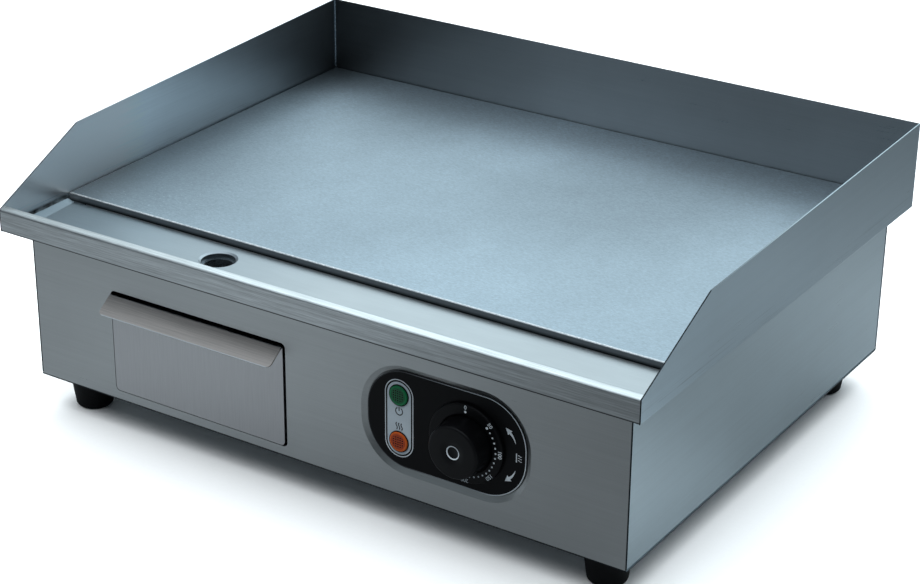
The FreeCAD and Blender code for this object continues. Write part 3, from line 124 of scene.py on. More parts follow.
def combine(tree, operation, a, b):
    return add(tree, "Math", {0: a, 1: b}, operation=operation).outputs["Value"]


def times(tree, product, *factors):
    """product, multiplied by each factor in turn."""
    for factor in factors:
        product = combine(tree, "MULTIPLY", product, factor)
    return product


def mixed(tree, mask, a, b):
    """Value a where mask is 0, and b where it is 1."""
    return add(tree, "Mix", {0: mask, 2: a, 3: b}).outputs[0]


def axes(tree, place, kind="Object"):
    """X, Y and Z of one kind of texture coordinate: the place on the object in metres, unless kind says."""
    return add(tree, "SeparateXYZ", {"Vector": place.outputs[kind]}).outputs


def distance(tree, place, point):
    return add(tree, "VectorMath", {0: place.outputs["Object"], 1: point}, operation="DISTANCE").outputs["Value"]


def shaded(tree, colour, factor):
    """colour, lightened or darkened by factor."""
    grey = add(tree, "CombineColor", {"Red": factor, "Green": factor, "Blue": factor})
    return add(tree, "Mix", {"Factor": 1.0, 6: colour, 7: grey.outputs["Color"]}, data_type="RGBA",
               blend_type="MULTIPLY").outputs[2]


def blended(tree, mask, a, b):
    """Colour a where mask is 0, and b where it is 1."""
    return add(tree, "Mix", {"Factor": mask, 6: a, 7: b}, data_type="RGBA").outputs[2]


def pooled(tree, place, tone, pools, height=0.0):
    """tone, changed in round pools that fade out: (x, y, full reach, fading reach, factor), in metres."""
    for x, y, full, fade, factor in pools:
        away = distance(tree, place, (x, y, height))
        tone = times(tree, tone, between(tree, away, factor, 1.0, full, fade))
    return tone


def paint(tree, shader, base, roughness, metallic=0.0):
    """Links a finish's colour and gloss to its shader."""
    tree.links.new(base, shader.inputs["Base Color"])
    tree.links.new(roughness, shader.inputs["Roughness"])
    shader.inputs["Metallic"].default_value = metallic


def bump(tree, shader, height, depth_mm, strength=1.0):
    made = add(tree, "Bump", {"Height": height, "Distance": depth_mm * MM, "Strength": strength})
    tree.links.new(made.outputs["Normal"], shader.inputs["Normal"])


def dress(finish, *names):
    """Gives CAD nodes a finish."""
    for name in names:
        mesh = NODES[name].data
        mesh.materials.clear()
        mesh.materials.append(finish)


def new_piece(name, mesh, finish, body):
    """Object for a new mesh that rides on a body."""
    piece = bpy.data.objects.new(name, mesh)
    bpy.context.scene.collection.objects.link(piece)
    mesh.materials.clear()
    mesh.materials.append(finish)
    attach(piece, body)
    return piece


def mesh_from(name, build):
    """Mesh filled by build(bm), with outward normals and smooth faces that stay sharp at real edges."""
    bm = bmesh.new()
    build(bm)
    bmesh.ops.remove_doubles(bm, verts=bm.verts, dist=1e-7)
    bmesh.ops.recalc_face_normals(bm, faces=bm.faces)
    mesh = bpy.data.meshes.new(name)
    bm.to_mesh(mesh)
    bm.free()
    mesh.shade_smooth()
    mesh.set_sharp_from_angle(angle=math.radians(35))
    return mesh


def stadium(cx, cz, width, height, corner, count=14):
    """Upright rounded rectangle as (x, z) points, counted round from the lower right corner."""
    points = []
    for sx, sz, start in ((1, -1, -90), (1, 1, 0), (-1, 1, 90), (-1, -1, 180)):
        x, z = cx + sx * (width / 2 - corner), cz + sz * (height / 2 - corner)
        for i in range(count + 1):
            a = math.radians(start + 90 * i / count)
            points.append((x + corner * math.cos(a), z + corner * math.sin(a)))
    return points


def slab(bm, outline, y, thickness, hole=None):
    """Flat piece that stands thickness proud of the plane y, towards the operator."""
    front, back = y - thickness, y

    def ring(points, depth):
        return [bm.verts.new((x, depth, z)) for x, z in points]

    outer_front, outer_back = ring(outline, front), ring(outline, back)
    loops = [(outer_front, outer_back)]
    if hole is None:
        bm.faces.new(outer_front)
    else:
        inner_front, inner_back = ring(hole, front), ring(hole, back)
        loops.append((inner_front, inner_back))
        for i in range(len(outline)):
            j = (i + 1) % len(outline)
            bm.faces.new((outer_front[i], outer_front[j], inner_front[j], inner_front[i]))
    for near, far in loops:
        for i in range(len(near)):
            j = (i + 1) % len(near)
            bm.faces.new((near[i], near[j], far[j], far[i]))


def polar(centre, radius, degrees):
    """Point on a circle round a dial centre, with degrees clockwise from the top."""
    a = math.radians(degrees)
    return (centre.x + radius * math.sin(a), centre.z + radius * math.cos(a))


def stroke(bm, points, widths, y, thickness):
    """Printed line along (x, z) points whose width changes from point to point."""
    left, right = [], []
    for i, point in enumerate(points):
        before, after = points[max(i - 1, 0)], points[min(i + 1, len(points) - 1)]
        run = Vector((after[0] - before[0], after[1] - before[1])).normalized()
        side = Vector((-run.y, run.x)) * widths[i] / 2
        left.append((point[0] + side.x, point[1] + side.y))
        right.append((point[0] - side.x, point[1] - side.y))
    for i in range(len(points) - 1):
        slab(bm, [left[i], left[i + 1], right[i + 1], right[i]], y, thickness)


def lathe(bm, profile, centre, count=96):
    """Turned piece about the fore-and-aft axis: profile is (radius, forward) pairs in millimetres."""
    rings = []
    for radius, forward in profile:
        y = centre.y - forward * MM
        if radius == 0:
            rings.append([bm.verts.new((centre.x, y, centre.z))])
            continue
        turn = [2 * math.pi * i / count for i in range(count)]
        rings.append([bm.verts.new((centre.x + radius * MM * math.cos(a), y, centre.z + radius * MM * math.sin(a)))
                      for a in turn])
    for a, b in zip(rings, rings[1:]):
        for i in range(count):
            j = (i + 1) % count
            if len(a) == 1:
                bm.faces.new((a[0], b[i], b[j]))
            elif len(b) == 1:
                bm.faces.new((a[i], a[j], b[0]))
            else:
                bm.faces.new((a[i], a[j], b[j], b[i]))


# ---------------------------------------------------------------- finishes
def worn_tone(tree, along, painted_light):
    """Painted light and shade: a tone that runs through the given (place, tone) pairs."""
    (start, low), (end, high) = painted_light[:2]
    tone = between(tree, along, low, high, start, end)
    for (start, low), (end, high) in zip(painted_light[1:], painted_light[2:]):
        tone = times(tree, tone, between(tree, along, 1.0, high / low, start, end))
    return tone


def scuffed(tree, place, spot, base):
    """Scuffs along a splash guard's lower edge, from wiping."""
    scuffs = noise(tree, place, (2.0, 120.0, 1.1), detail=4.0, roughness=0.7)
    low = between(tree, spot["Z"], 1.0, 0.0, SEAT + 6 * MM, SEAT + 22 * MM)
    mask = times(tree, between(tree, scuffs, 0.0, 1.0, 0.56, 0.66), low, 0.45)
    return blended(tree, mask, base, linear("#6d787e"))


def heat_tinted(tree, place, spot, inner, base):
    """Heat tint: straw to brown just above the weld line, inside the splash guards' lower front ends."""
    front = between(tree, spot["Y"], 1.0, 0.0, PLATE_LOW[1] - 6 * MM, PLATE_LOW[1] + 3 * MM)
    wobble = between(tree, noise(tree, place, (14, 9, 9)), 0.5, 1.0)
    for reach, strength, tint in ((4.5 * MM, 0.2, "#8a6a50"), (2.4 * MM, 0.95, "#24120b")):
        near = between(tree, spot["Z"], 1.0, 0.0, WELD_LINE + reach * 0.3, WELD_LINE + reach)
        base = blended(tree, times(tree, near, front, wobble, inner, strength), base, linear(tint))
    return base


def brushed_stainless(name, colour, grain, face=None, roughness=0.34, streak=0.05, guard=False, painted_light=(),
                      painted_light_inside=True):
    """Stainless sheet, AISI 304, ground with a number 4 belt: fine parallel scratches that streak the light
    along the grain, slight patches from handling, and near-black edges: painted shade, as if they mirrored the dark.
    grain is the axis the belt ran along, face the axis the sheet faces. A side guard also has scuffs, heat tint
    and a top edge where that painted shade fades out towards the rear. The (place, tone) pairs along the grain are
    painted light and shade that brighten or darken the sheet's inner or outer side."""
    made, tree, shader, place = material(name)
    # The real scratches are 0.1 mm apart: they are drawn about 0.9 mm apart, so that they show.
    fine, broad = [SCRATCH_MM] * 3, [BAND_MM] * 3
    fine["xyz".index(grain)] = SCRATCH_LENGTH_MM
    broad["xyz".index(grain)] = BAND_LENGTH_MM
    scratches = noise(tree, place, fine, detail=2.0)
    bands = noise(tree, place, broad, detail=2.0)
    patches = noise(tree, place, (60, 60, 60), detail=2.0)
    spot, normal = axes(tree, place), axes(tree, place, "Normal")
    tone = times(tree, between(tree, scratches, 1 - streak, 1 + streak),
                 between(tree, bands, 1 - streak / 2, 1 + streak / 2), between(tree, patches, 0.97, 1.03))
    if face is not None:
        facing = times(tree, normal[face.upper()], spot[face.upper()])
        inner = combine(tree, "LESS_THAN", facing, -0.05)
        outer = combine(tree, "GREATER_THAN", facing, 0.05)
    # Painted light and shade along the grain, on the sheet's inner or outer side.
    if painted_light:
        painted_light_gain = worn_tone(tree, spot[grain.upper()], painted_light)
        tone = times(tree, tone, mixed(tree, inner if painted_light_inside else outer, 1.0, painted_light_gain))
    base = shaded(tree, colour, tone)
    if guard:
        base = heat_tinted(tree, place, spot, inner, scuffed(tree, place, spot, base))
    # Painted shade: the sheet's edges are near-black, as if they mirrored the dark; on a guard's top edge it fades out
    # towards the rear.
    if face is not None:
        flat = add(tree, "Math", {0: normal[face.upper()]}, operation="ABSOLUTE").outputs["Value"]
        edge = combine(tree, "LESS_THAN", flat, 0.3)
        if guard:
            level = combine(tree, "GREATER_THAN", normal["Z"], 0.97)
            top_unshaded = times(tree, level, between(tree, spot["Y"], 0.2, 1.0, -0.12, 0.05))
            edge = times(tree, edge, combine(tree, "SUBTRACT", 1.0, top_unshaded))
        base = blended(tree, times(tree, edge, 0.96), base, linear("#1d2024"))
    gloss = combine(tree, "ADD", between(tree, scratches, roughness - 0.05, roughness + 0.05),
                    between(tree, patches, -0.02, 0.02))
    paint(tree, shader, base, gloss, metallic=1.0)
    bump(tree, shader, scratches, 0.02, 0.25)
    return made


def drawer_stainless(face, lip):
    """The drawer front's stainless sheet: ground upright on its face, and along the pull lip, which is painted
    a browner copy of the steel for the light that falls on it, with a painted highlight along its lower edge."""
    made, tree, shader, place = material("number_4_stainless_drawer")
    # The real scratches are 0.1 mm apart: they are drawn about 0.8 mm apart, so that they show.
    upright = noise(tree, place, (0.8, 0.8, 26.0), detail=3.0)
    along = noise(tree, place, (45.0, 0.8, 0.8), detail=4.0, roughness=0.7)
    spot = axes(tree, place)
    on_lip = between(tree, spot["Y"], 1.0, 0.0, PANEL_LOW[1] - 2.2 * MM, PANEL_LOW[1] - 0.8 * MM)
    lip_highlight = between(tree, spot["Z"], 1.0, 0.0, LIP_TIP + 0.7 * MM, LIP_TIP + 1.1 * MM)
    scratches = mixed(tree, on_lip, upright, along)
    tone = mixed(tree, on_lip, between(tree, upright, 0.95, 1.05), between(tree, along, 0.80, 1.12))
    # The lip's browner colour is painted light.
    base = shaded(tree, blended(tree, on_lip, face, lip), tone)
    # Painted highlight along the lip's lower edge.
    base = blended(tree, times(tree, lip_highlight, on_lip), base, linear("#e8ecef"))
    paint(tree, shader, base, between(tree, scratches, 0.30, 0.40), metallic=1.0)
    bump(tree, shader, scratches, 0.02, 0.25)
    return made


def rim_stainless(trough_colour, apron_colour):
    """The gutter sheet: smooth in the trough and darker towards its left end, dressed along its rim and apron with a
    coarse belt that leaves long streaks, with a painted sheen on its lip that brightens away from its left end,
    painted shade that darkens the whole sheet towards its right end, and a dark line along the apron's lower edge."""
    made, tree, shader, place = material("number_4_stainless_rim")
    # The real scratches are 0.1 mm apart: they are drawn about 0.8 mm apart, so that they show.
    coarse = noise(tree, place, (28.0, 0.8, 0.8), detail=4.0, roughness=0.7)
    bands = noise(tree, place, (190.0, 4.0, 3.2), detail=2.0)
    fine = noise(tree, place, (60.0, 0.9, 0.9), detail=2.0)
    patches = noise(tree, place, (70.0, 30.0, 30.0), detail=2.0)
    spot = axes(tree, place)
    front, left, top = GUTTER_LOW[1], GUTTER_LOW[0], GUTTER_HIGH[2]
    rim = between(tree, spot["Y"], 1.0, 0.0, front + 5 * MM, front + 11 * MM)
    trough = between(tree, spot["Y"], 0.0, 1.0, front + 16 * MM, front + 24 * MM)
    darker_left_end = times(tree, between(tree, spot["X"], 1.0, 0.0, left + 0.05, left + 0.28), trough)
    streaks = times(tree, between(tree, coarse, 0.72, 1.26), between(tree, bands, 0.88, 1.12))
    smooth = times(tree, between(tree, fine, 0.985, 1.015), between(tree, patches, 0.96, 1.04))
    on_lip = between(tree, spot["Z"], 0.0, 1.0, top - 2 * MM, top - 1 * MM)
    # Painted light: a sheen on the lip that brightens away from the left end, and painted shade over the whole sheet
    # towards its right end.
    painted_sheen_and_shade = mixed(tree, on_lip, 1.0, between(tree, spot["X"], 0.85, 1.35, left, left + 0.2))
    painted_sheen_and_shade = times(tree, painted_sheen_and_shade, between(tree, spot["X"], 1.0, 0.87, 0.02, GUTTER_HIGH[0]))
    sheet = blended(tree, darker_left_end, blended(tree, rim, trough_colour, apron_colour), linear("#919ea6"))
    base = shaded(tree, sheet, times(tree, mixed(tree, rim, smooth, streaks), painted_sheen_and_shade))
    dark_lower_line = times(tree, between(tree, spot["Z"], 1.0, 0.0, SEAT + 1.1 * MM, SEAT + 2.0 * MM),
                 combine(tree, "LESS_THAN", spot["Y"], front + 2 * MM))
    paint(tree, shader, blended(tree, dark_lower_line, base, linear("#1c1e22")), between(tree, coarse, 0.30, 0.40),
          metallic=1.0)
    bump(tree, shader, fine, 0.02, 0.25)
    return made


def ground_plate_steel(colour, fleck):
    """Thick carbon steel plate, surface-ground and oiled: a matt face full of tiny flecks, cloudy where the
    wheel dwelt, with grey mill edges."""
    made, tree, shader, place = material("ground_carbon_steel")
    # Flecks are 0.3 mm in the metal: they are drawn 2.6 mm long, so that they show.
    flecks = noise(tree, place, (2.6, 1.1, 1.1), detail=4.0, roughness=0.75)
    clouds = noise(tree, place, (26, 38, 26), detail=3.0)
    drifts = noise(tree, place, (110, 140, 110), detail=2.0)
    grit = noise(tree, place, (2.4, 1.6, 1.6), detail=1.0)
    spot, normal = axes(tree, place), axes(tree, place, "Normal")
    left, front, top = PLATE_LOW[0], PLATE_LOW[1], PLATE_HIGH[2]
    # Near its left edge the tone darkens: a painted reflection of the left guard.
    tone = times(tree, between(tree, flecks, 1 - fleck, 1 + fleck), between(tree, clouds, 0.975, 1.025),
                 between(tree, drifts, 0.965, 1.035), between(tree, spot["X"], 0.6, 1.0, left, left + 0.045))
    # Painted light and shade in round pools: painted reflection of the left guard darkens the left front and the rear
    # left corner, painted highlights brighten the front and rear middle, and painted shade darkens the middle left and
    # middle right.
    tone = pooled(tree, place, tone, ((-0.29, -0.08, 0.02, 0.17, 0.62), (-0.28, 0.21, 0.01, 0.07, 0.6),
                                      (0.0, 0.19, 0.03, 0.12, 1.15), (-0.14, 0.13, 0.02, 0.07, 0.87),
                                      (0.09, 0.07, 0.04, 0.12, 0.83), (0.06, -0.14, 0.05, 0.12, 1.12)), top)
    # Painted light: the plate brightens towards the rear.
    tone = times(tree, tone, between(tree, spot["Y"], 1.0, 1.3, 0.08, PLATE_HIGH[1]))
    # Bright specks, towards the left front corner.
    specks = times(tree, between(tree, grit, 0.0, 0.6, 0.69, 0.77), between(tree, spot["Y"], 1.0, 0.15, front, 0.0),
                   between(tree, spot["X"], 1.0, 0.1, -0.2, -0.02))
    tone = times(tree, tone, combine(tree, "ADD", 1.0, specks))
    # The edge is scale grey, with painted shade darkening it towards its foot; the arris over it carries a dotted
    # painted highlight.
    edge = combine(tree, "LESS_THAN", normal["Z"], 0.3)
    rise = between(tree, spot["Z"], 0.0, 1.0, PLATE_LOW[2] + 0.5 * MM, PLATE_LOW[2] + 3 * MM)
    side = blended(tree, rise, linear("#33383d"), linear("#9fa4a8"))
    arris_highlight = times(tree, combine(tree, "LESS_THAN", spot["Y"], front + 1.6 * MM),
                  between(tree, flecks, 0.3, 0.9, 0.4, 0.6))
    face = blended(tree, arris_highlight, shaded(tree, colour, tone), linear("#ffffff"))
    gloss = mixed(tree, edge, between(tree, flecks, 0.43, 0.55), 0.75)
    paint(tree, shader, blended(tree, edge, face, side), gloss, metallic=1.0)
    bump(tree, shader, flecks, 0.05, 0.35)
    return made


def plain_metal(name, colour, roughness, cell_mm=6.0, spread=0.12):
    """Metal left as it was rolled, drawn or plated: slightly uneven colour and gloss."""
    made, tree, shader, place = material(name)
    uneven = noise(tree, place, (cell_mm, cell_mm, cell_mm))
    paint(tree, shader, shaded(tree, colour, between(tree, uneven, 1 - spread, 1 + spread)),
          between(tree, uneven, roughness - 0.06, roughness + 0.06), metallic=1.0)
    bump(tree, shader, uneven, 0.03, 0.2)
    return made


def moulded(name, colour, roughness, grain_mm=0.5, depth_mm=0.02, spread=0.10, shine=0.5):
    """Moulded or cast non-metal: a fine tool grain that breaks the gloss, and slightly uneven colour."""
    made, tree, shader, place = material(name)
    grain = noise(tree, place, (grain_mm, grain_mm, grain_mm), detail=2.0)
    patches = noise(tree, place, (14, 14, 14))
    paint(tree, shader, shaded(tree, colour, between(tree, patches, 1 - spread, 1 + spread)),
          between(tree, grain, roughness - 0.05, roughness + 0.05))
    shader.inputs["Specular IOR Level"].default_value = shine
    bump(tree, shader, grain, depth_mm, 0.4)
    return made


def lamp_lens(name, deep, middle, bright, centre):
    """Injection-moulded acrylic with rows of small prisms moulded inside: dark dots in its middle, and a plain rim
    with a painted highlight, stronger towards the bottom, under a smooth glossy dome."""
    made, tree, shader, place = material(name)
    spot = axes(tree, place)
    # The real prisms are 0.8 mm apart: they are drawn 1.8 mm apart, so that they show.
    pitch = 1.8 * MM
    waves = []
    for axis, start in (("X", centre[0]), ("Z", centre[2])):
        phase = times(tree, combine(tree, "SUBTRACT", spot[axis], start), 2 * math.pi / pitch)
        waves.append(add(tree, "Math", {0: phase}, operation="COSINE").outputs["Value"])
    dots = between(tree, combine(tree, "MINIMUM", waves[0], waves[1]), 0.0, 1.0, -0.7, 0.0)
    away = distance(tree, place, centre)
    inside = between(tree, away, 1.0, 0.0, 4.9 * MM, 5.4 * MM)
    # Painted highlight round the rim, stronger towards the bottom.
    rim = between(tree, away, 0.0, 1.0, 5.8 * MM, 6.6 * MM)
    low = between(tree, spot["Z"], 1.0, 0.45, centre[2] - 6 * MM, centre[2] + 6 * MM)
    body = blended(tree, times(tree, dots, inside), middle, deep)
    tree.links.new(blended(tree, times(tree, rim, low), body, bright), shader.inputs["Base Color"])
    shader.inputs["Roughness"].default_value = 0.18
    shader.inputs["IOR"].default_value = 1.49
    shader.inputs["Specular IOR Level"].default_value = 0.3
    bump(tree, shader, dots, 0.15, 0.3)
    return made


def mineral_wool():
    """Needled mineral wool blanket: a dull felt of pale fibres."""
    made, tree, shader, place = material("mineral_wool")
    fibres = noise(tree, place, (0.8, 9.0, 0.8), detail=4.0)
    tree.links.new(shaded(tree, linear("#c9bf9f"), between(tree, fibres, 0.7, 1.15)), shader.inputs["Base Color"])
    shader.inputs["Roughness"].default_value = 0.95
    bump(tree, shader, fibres, 0.6, 0.8)
    return made


def earth_sleeve():
    """Two-colour earth sleeve: green PVC with a yellow stripe that repeats along the lead."""
    made, tree, shader, place = material("earth_sleeve")
    stripe = add(tree, "TexWave", {"Vector": place.outputs["Object"], "Scale": 120.0, "Distortion": 0.6},
                 bands_direction="DIAGONAL")
    mask = between(tree, stripe.outputs["Fac"], 0.0, 1.0, 0.45, 0.55)
    tree.links.new(blended(tree, mask, linear("#3f7d2c"), linear("#d9c52e")), shader.inputs["Base Color"])
    shader.inputs["Roughness"].default_value = 0.45
    return made


# ---------------------------------------------------------------- settings
class GriddleSteel(bpy.types.PropertyGroup):
    sheet: bpy.props.FloatVectorProperty(
        name="Sheet", description="Colour of the stainless sheet", subtype="COLOR", size=4, min=0, max=1,
        default=linear("#b9bfc3"))
    # front and pull are copies of the sheet's colour, painted lighter, darker or warmer for how the light falls on
    # those faces.
    front: bpy.props.FloatVectorProperty(
        name="Front", description="Colour of the front panel and apron", subtype="COLOR", size=4, min=0, max=1,
        default=linear("#b8bbbb"))
    pull: bpy.props.FloatVectorProperty(
        name="Drawer", description="Colour of the drawer front", subtype="COLOR", size=4, min=0, max=1,
        default=linear("#bfbfc0"))
    plate: bpy.props.FloatVectorProperty(
        name="Plate", description="Colour of the ground cooking plate", subtype="COLOR", size=4, min=0, max=1,
        default=linear("#a6b4bd"))
    fleck: bpy.props.FloatProperty(
        name="Fleck", description="How much the plate's flecks vary in tone", default=0.22, min=0, max=1,
        subtype="FACTOR")


class GriddlePrint(bpy.types.PropertyGroup):
    proud: bpy.props.FloatProperty(
        name="Ink height", description="How far the print stands off the fascia", default=0.06 * MM, min=0,
        unit="LENGTH")
    line: bpy.props.FloatProperty(
        name="Line", description="Width of a printed line", default=0.7 * MM, min=0, unit="LENGTH")
    dot: bpy.props.FloatProperty(
        name="Dot", description="Radius of a small dot on the dial", default=0.66 * MM, min=0, unit="LENGTH")
    dot_circle: bpy.props.FloatProperty(
        name="Dot circle", description="Radius of the circle of dots", default=24.7 * MM, min=0, unit="LENGTH")
    digit: bpy.props.FloatProperty(
        name="Digit", description="Height of the dial's numbers", default=3.1 * MM, min=0, unit="LENGTH")
    digit_circle: bpy.props.FloatProperty(
        name="Digit circle", description="Radius of the circle of numbers", default=28.0 * MM, min=0,
        unit="LENGTH")


class GriddleStage(bpy.types.PropertyGroup):
    floor: bpy.props.FloatVectorProperty(
        name="Floor", description="Colour of the studio floor", subtype="COLOR", size=4, min=0, max=1,
        default=linear("#fcfdfd"))
    floor_grey: bpy.props.FloatVectorProperty(
        name="Reflected floor", description="Colour of the floor as the steel reflects it", subtype="COLOR", size=4,
        min=0, max=1, default=linear("#8b8f92"))
    sky: bpy.props.FloatProperty(
        name="Surroundings", description="Strength of the graded surroundings", default=1.9, min=0)
    top: bpy.props.FloatProperty(
        name="Top", description="Power of the overhead soft light", default=160.0, min=0, unit="POWER")
    lens: bpy.props.FloatProperty(
        name="Lens", description="Focal length of the camera", default=90.15, min=1, unit="CAMERA")


# ---------------------------------------------------------------- pieces
class GRIDDLE_OT_sheet_metal(bpy.types.Operator):
    """Finish the body, the splash guards, the gutter and the drawer"""
    bl_idname = "griddle.sheet_metal"
    bl_label = "Sheet metal"

    def execute(self, context):
        steel = context.scene.griddle_steel
        sheet, front = tuple(steel.sheet), tuple(steel.front)
        # The parts' stainless colours are lighter, darker or bluer copies of one steel: painted light and shade for
        # how the light falls on each part.
        dress(brushed_stainless("number_4_stainless_left_guard", linear("#ccd2d6"), "y", "x", streak=0.03, guard=True,
                                painted_light=((GUARD_LOW[1], 1.75), (-0.08, 1.65), (0.04, 1.0), (GUARD_HIGH[1], 0.45))),
              "left_splash_guard")
        dress(brushed_stainless("number_4_stainless_right_guard", linear("#a4b3ba"), "y", "x", streak=0.03, guard=True,
                                painted_light=((GUARD_LOW[1], 1.4), (-0.12, 1.2), (0.05, 1.0)), painted_light_inside=False),
              "right_splash_guard")
        dress(brushed_stainless("number_4_stainless_back_guard", linear("#b4b4b5"), "x", "y", streak=0.03,
                                painted_light=((BACK_LOW[0], 0.35), (BACK_LOW[0] + 0.22, 1.0))),
              "back_splash_guard")
        dress(rim_stainless(linear("#b4babd"), linear("#c4c8c9")), "front_gutter")
        dress(brushed_stainless("number_4_stainless_rail", front, "x"), "plate_rail")
        dress(brushed_stainless("number_4_stainless_front", front, "x", streak=0.04), "front_panel")
        dress(brushed_stainless("number_4_stainless_sides", linear("#b4c2c7"), "y", "x", streak=0.04),
              "left_side_panel", "right_side_panel")
        dress(brushed_stainless("number_4_stainless_back", sheet, "x", "y", streak=0.05), "back_panel")
        dress(brushed_stainless("number_4_stainless_base", sheet, "x", "z", streak=0.05), "base_plate",
              "left_drawer_runner", "right_drawer_runner")
        dress(drawer_stainless(tuple(steel.pull), linear("#c8bfba")), "drawer_front")
        dress(brushed_stainless("bright_annealed_stainless", sheet, "y", roughness=0.32, streak=0.03),
              "drawer_tray", "drain_spout")
        return {"FINISHED"}


class GRIDDLE_OT_cooking_plate(bpy.types.Operator):
    """Finish the cooking plate"""
    bl_idname = "griddle.cooking_plate"
    bl_label = "Cooking plate"

    def execute(self, context):
        steel = context.scene.griddle_steel
        dress(ground_plate_steel(tuple(steel.plate), steel.fleck), "griddle_plate")
        return {"FINISHED"}


class GRIDDLE_OT_corner_welds(bpy.types.Operator):
    """Add the weld beads in the two back corners of the splash guards"""
    bl_idname = "griddle.corner_welds"
    bl_label = "Corner welds"

    def execute(self, context):
        finish = plain_metal("tig_weld_bead", linear("#c2cbd2"), 0.25, cell_mm=1.2, spread=0.08)
        inside_x = -BACK_LOW[0]
        inside_y = PLATE_HIGH[1] + 1 * MM
        for name, side in (("left", -1), ("right", 1)):
            def bead(bm, side=side):
                rings = []
                count, steps = 8, 40
                for k in range(steps + 1):
                    z = PLATE_HIGH[2] + (BACK_HIGH[2] - 0.6 * MM - PLATE_HIGH[2]) * k / steps
                    radius = (0.9 + 0.12 * math.sin(k * 2.1)) * MM
                    ring = []
                    for i in range(count + 1):
                        a = math.pi / 2 * i / count
                        ring.append(bm.verts.new((side * (inside_x - radius * math.cos(a)),
                                                  inside_y - radius * math.sin(a), z)))
                    rings.append(ring)
                for low, high in zip(rings, rings[1:]):
                    for i in range(count):
                        bm.faces.new((low[i], low[i + 1], high[i + 1], high[i]))
            mesh = mesh_from(name + "_corner_weld", bead)
            new_piece(name + "_corner_weld", mesh, finish, "housing")
        return {"FINISHED"}


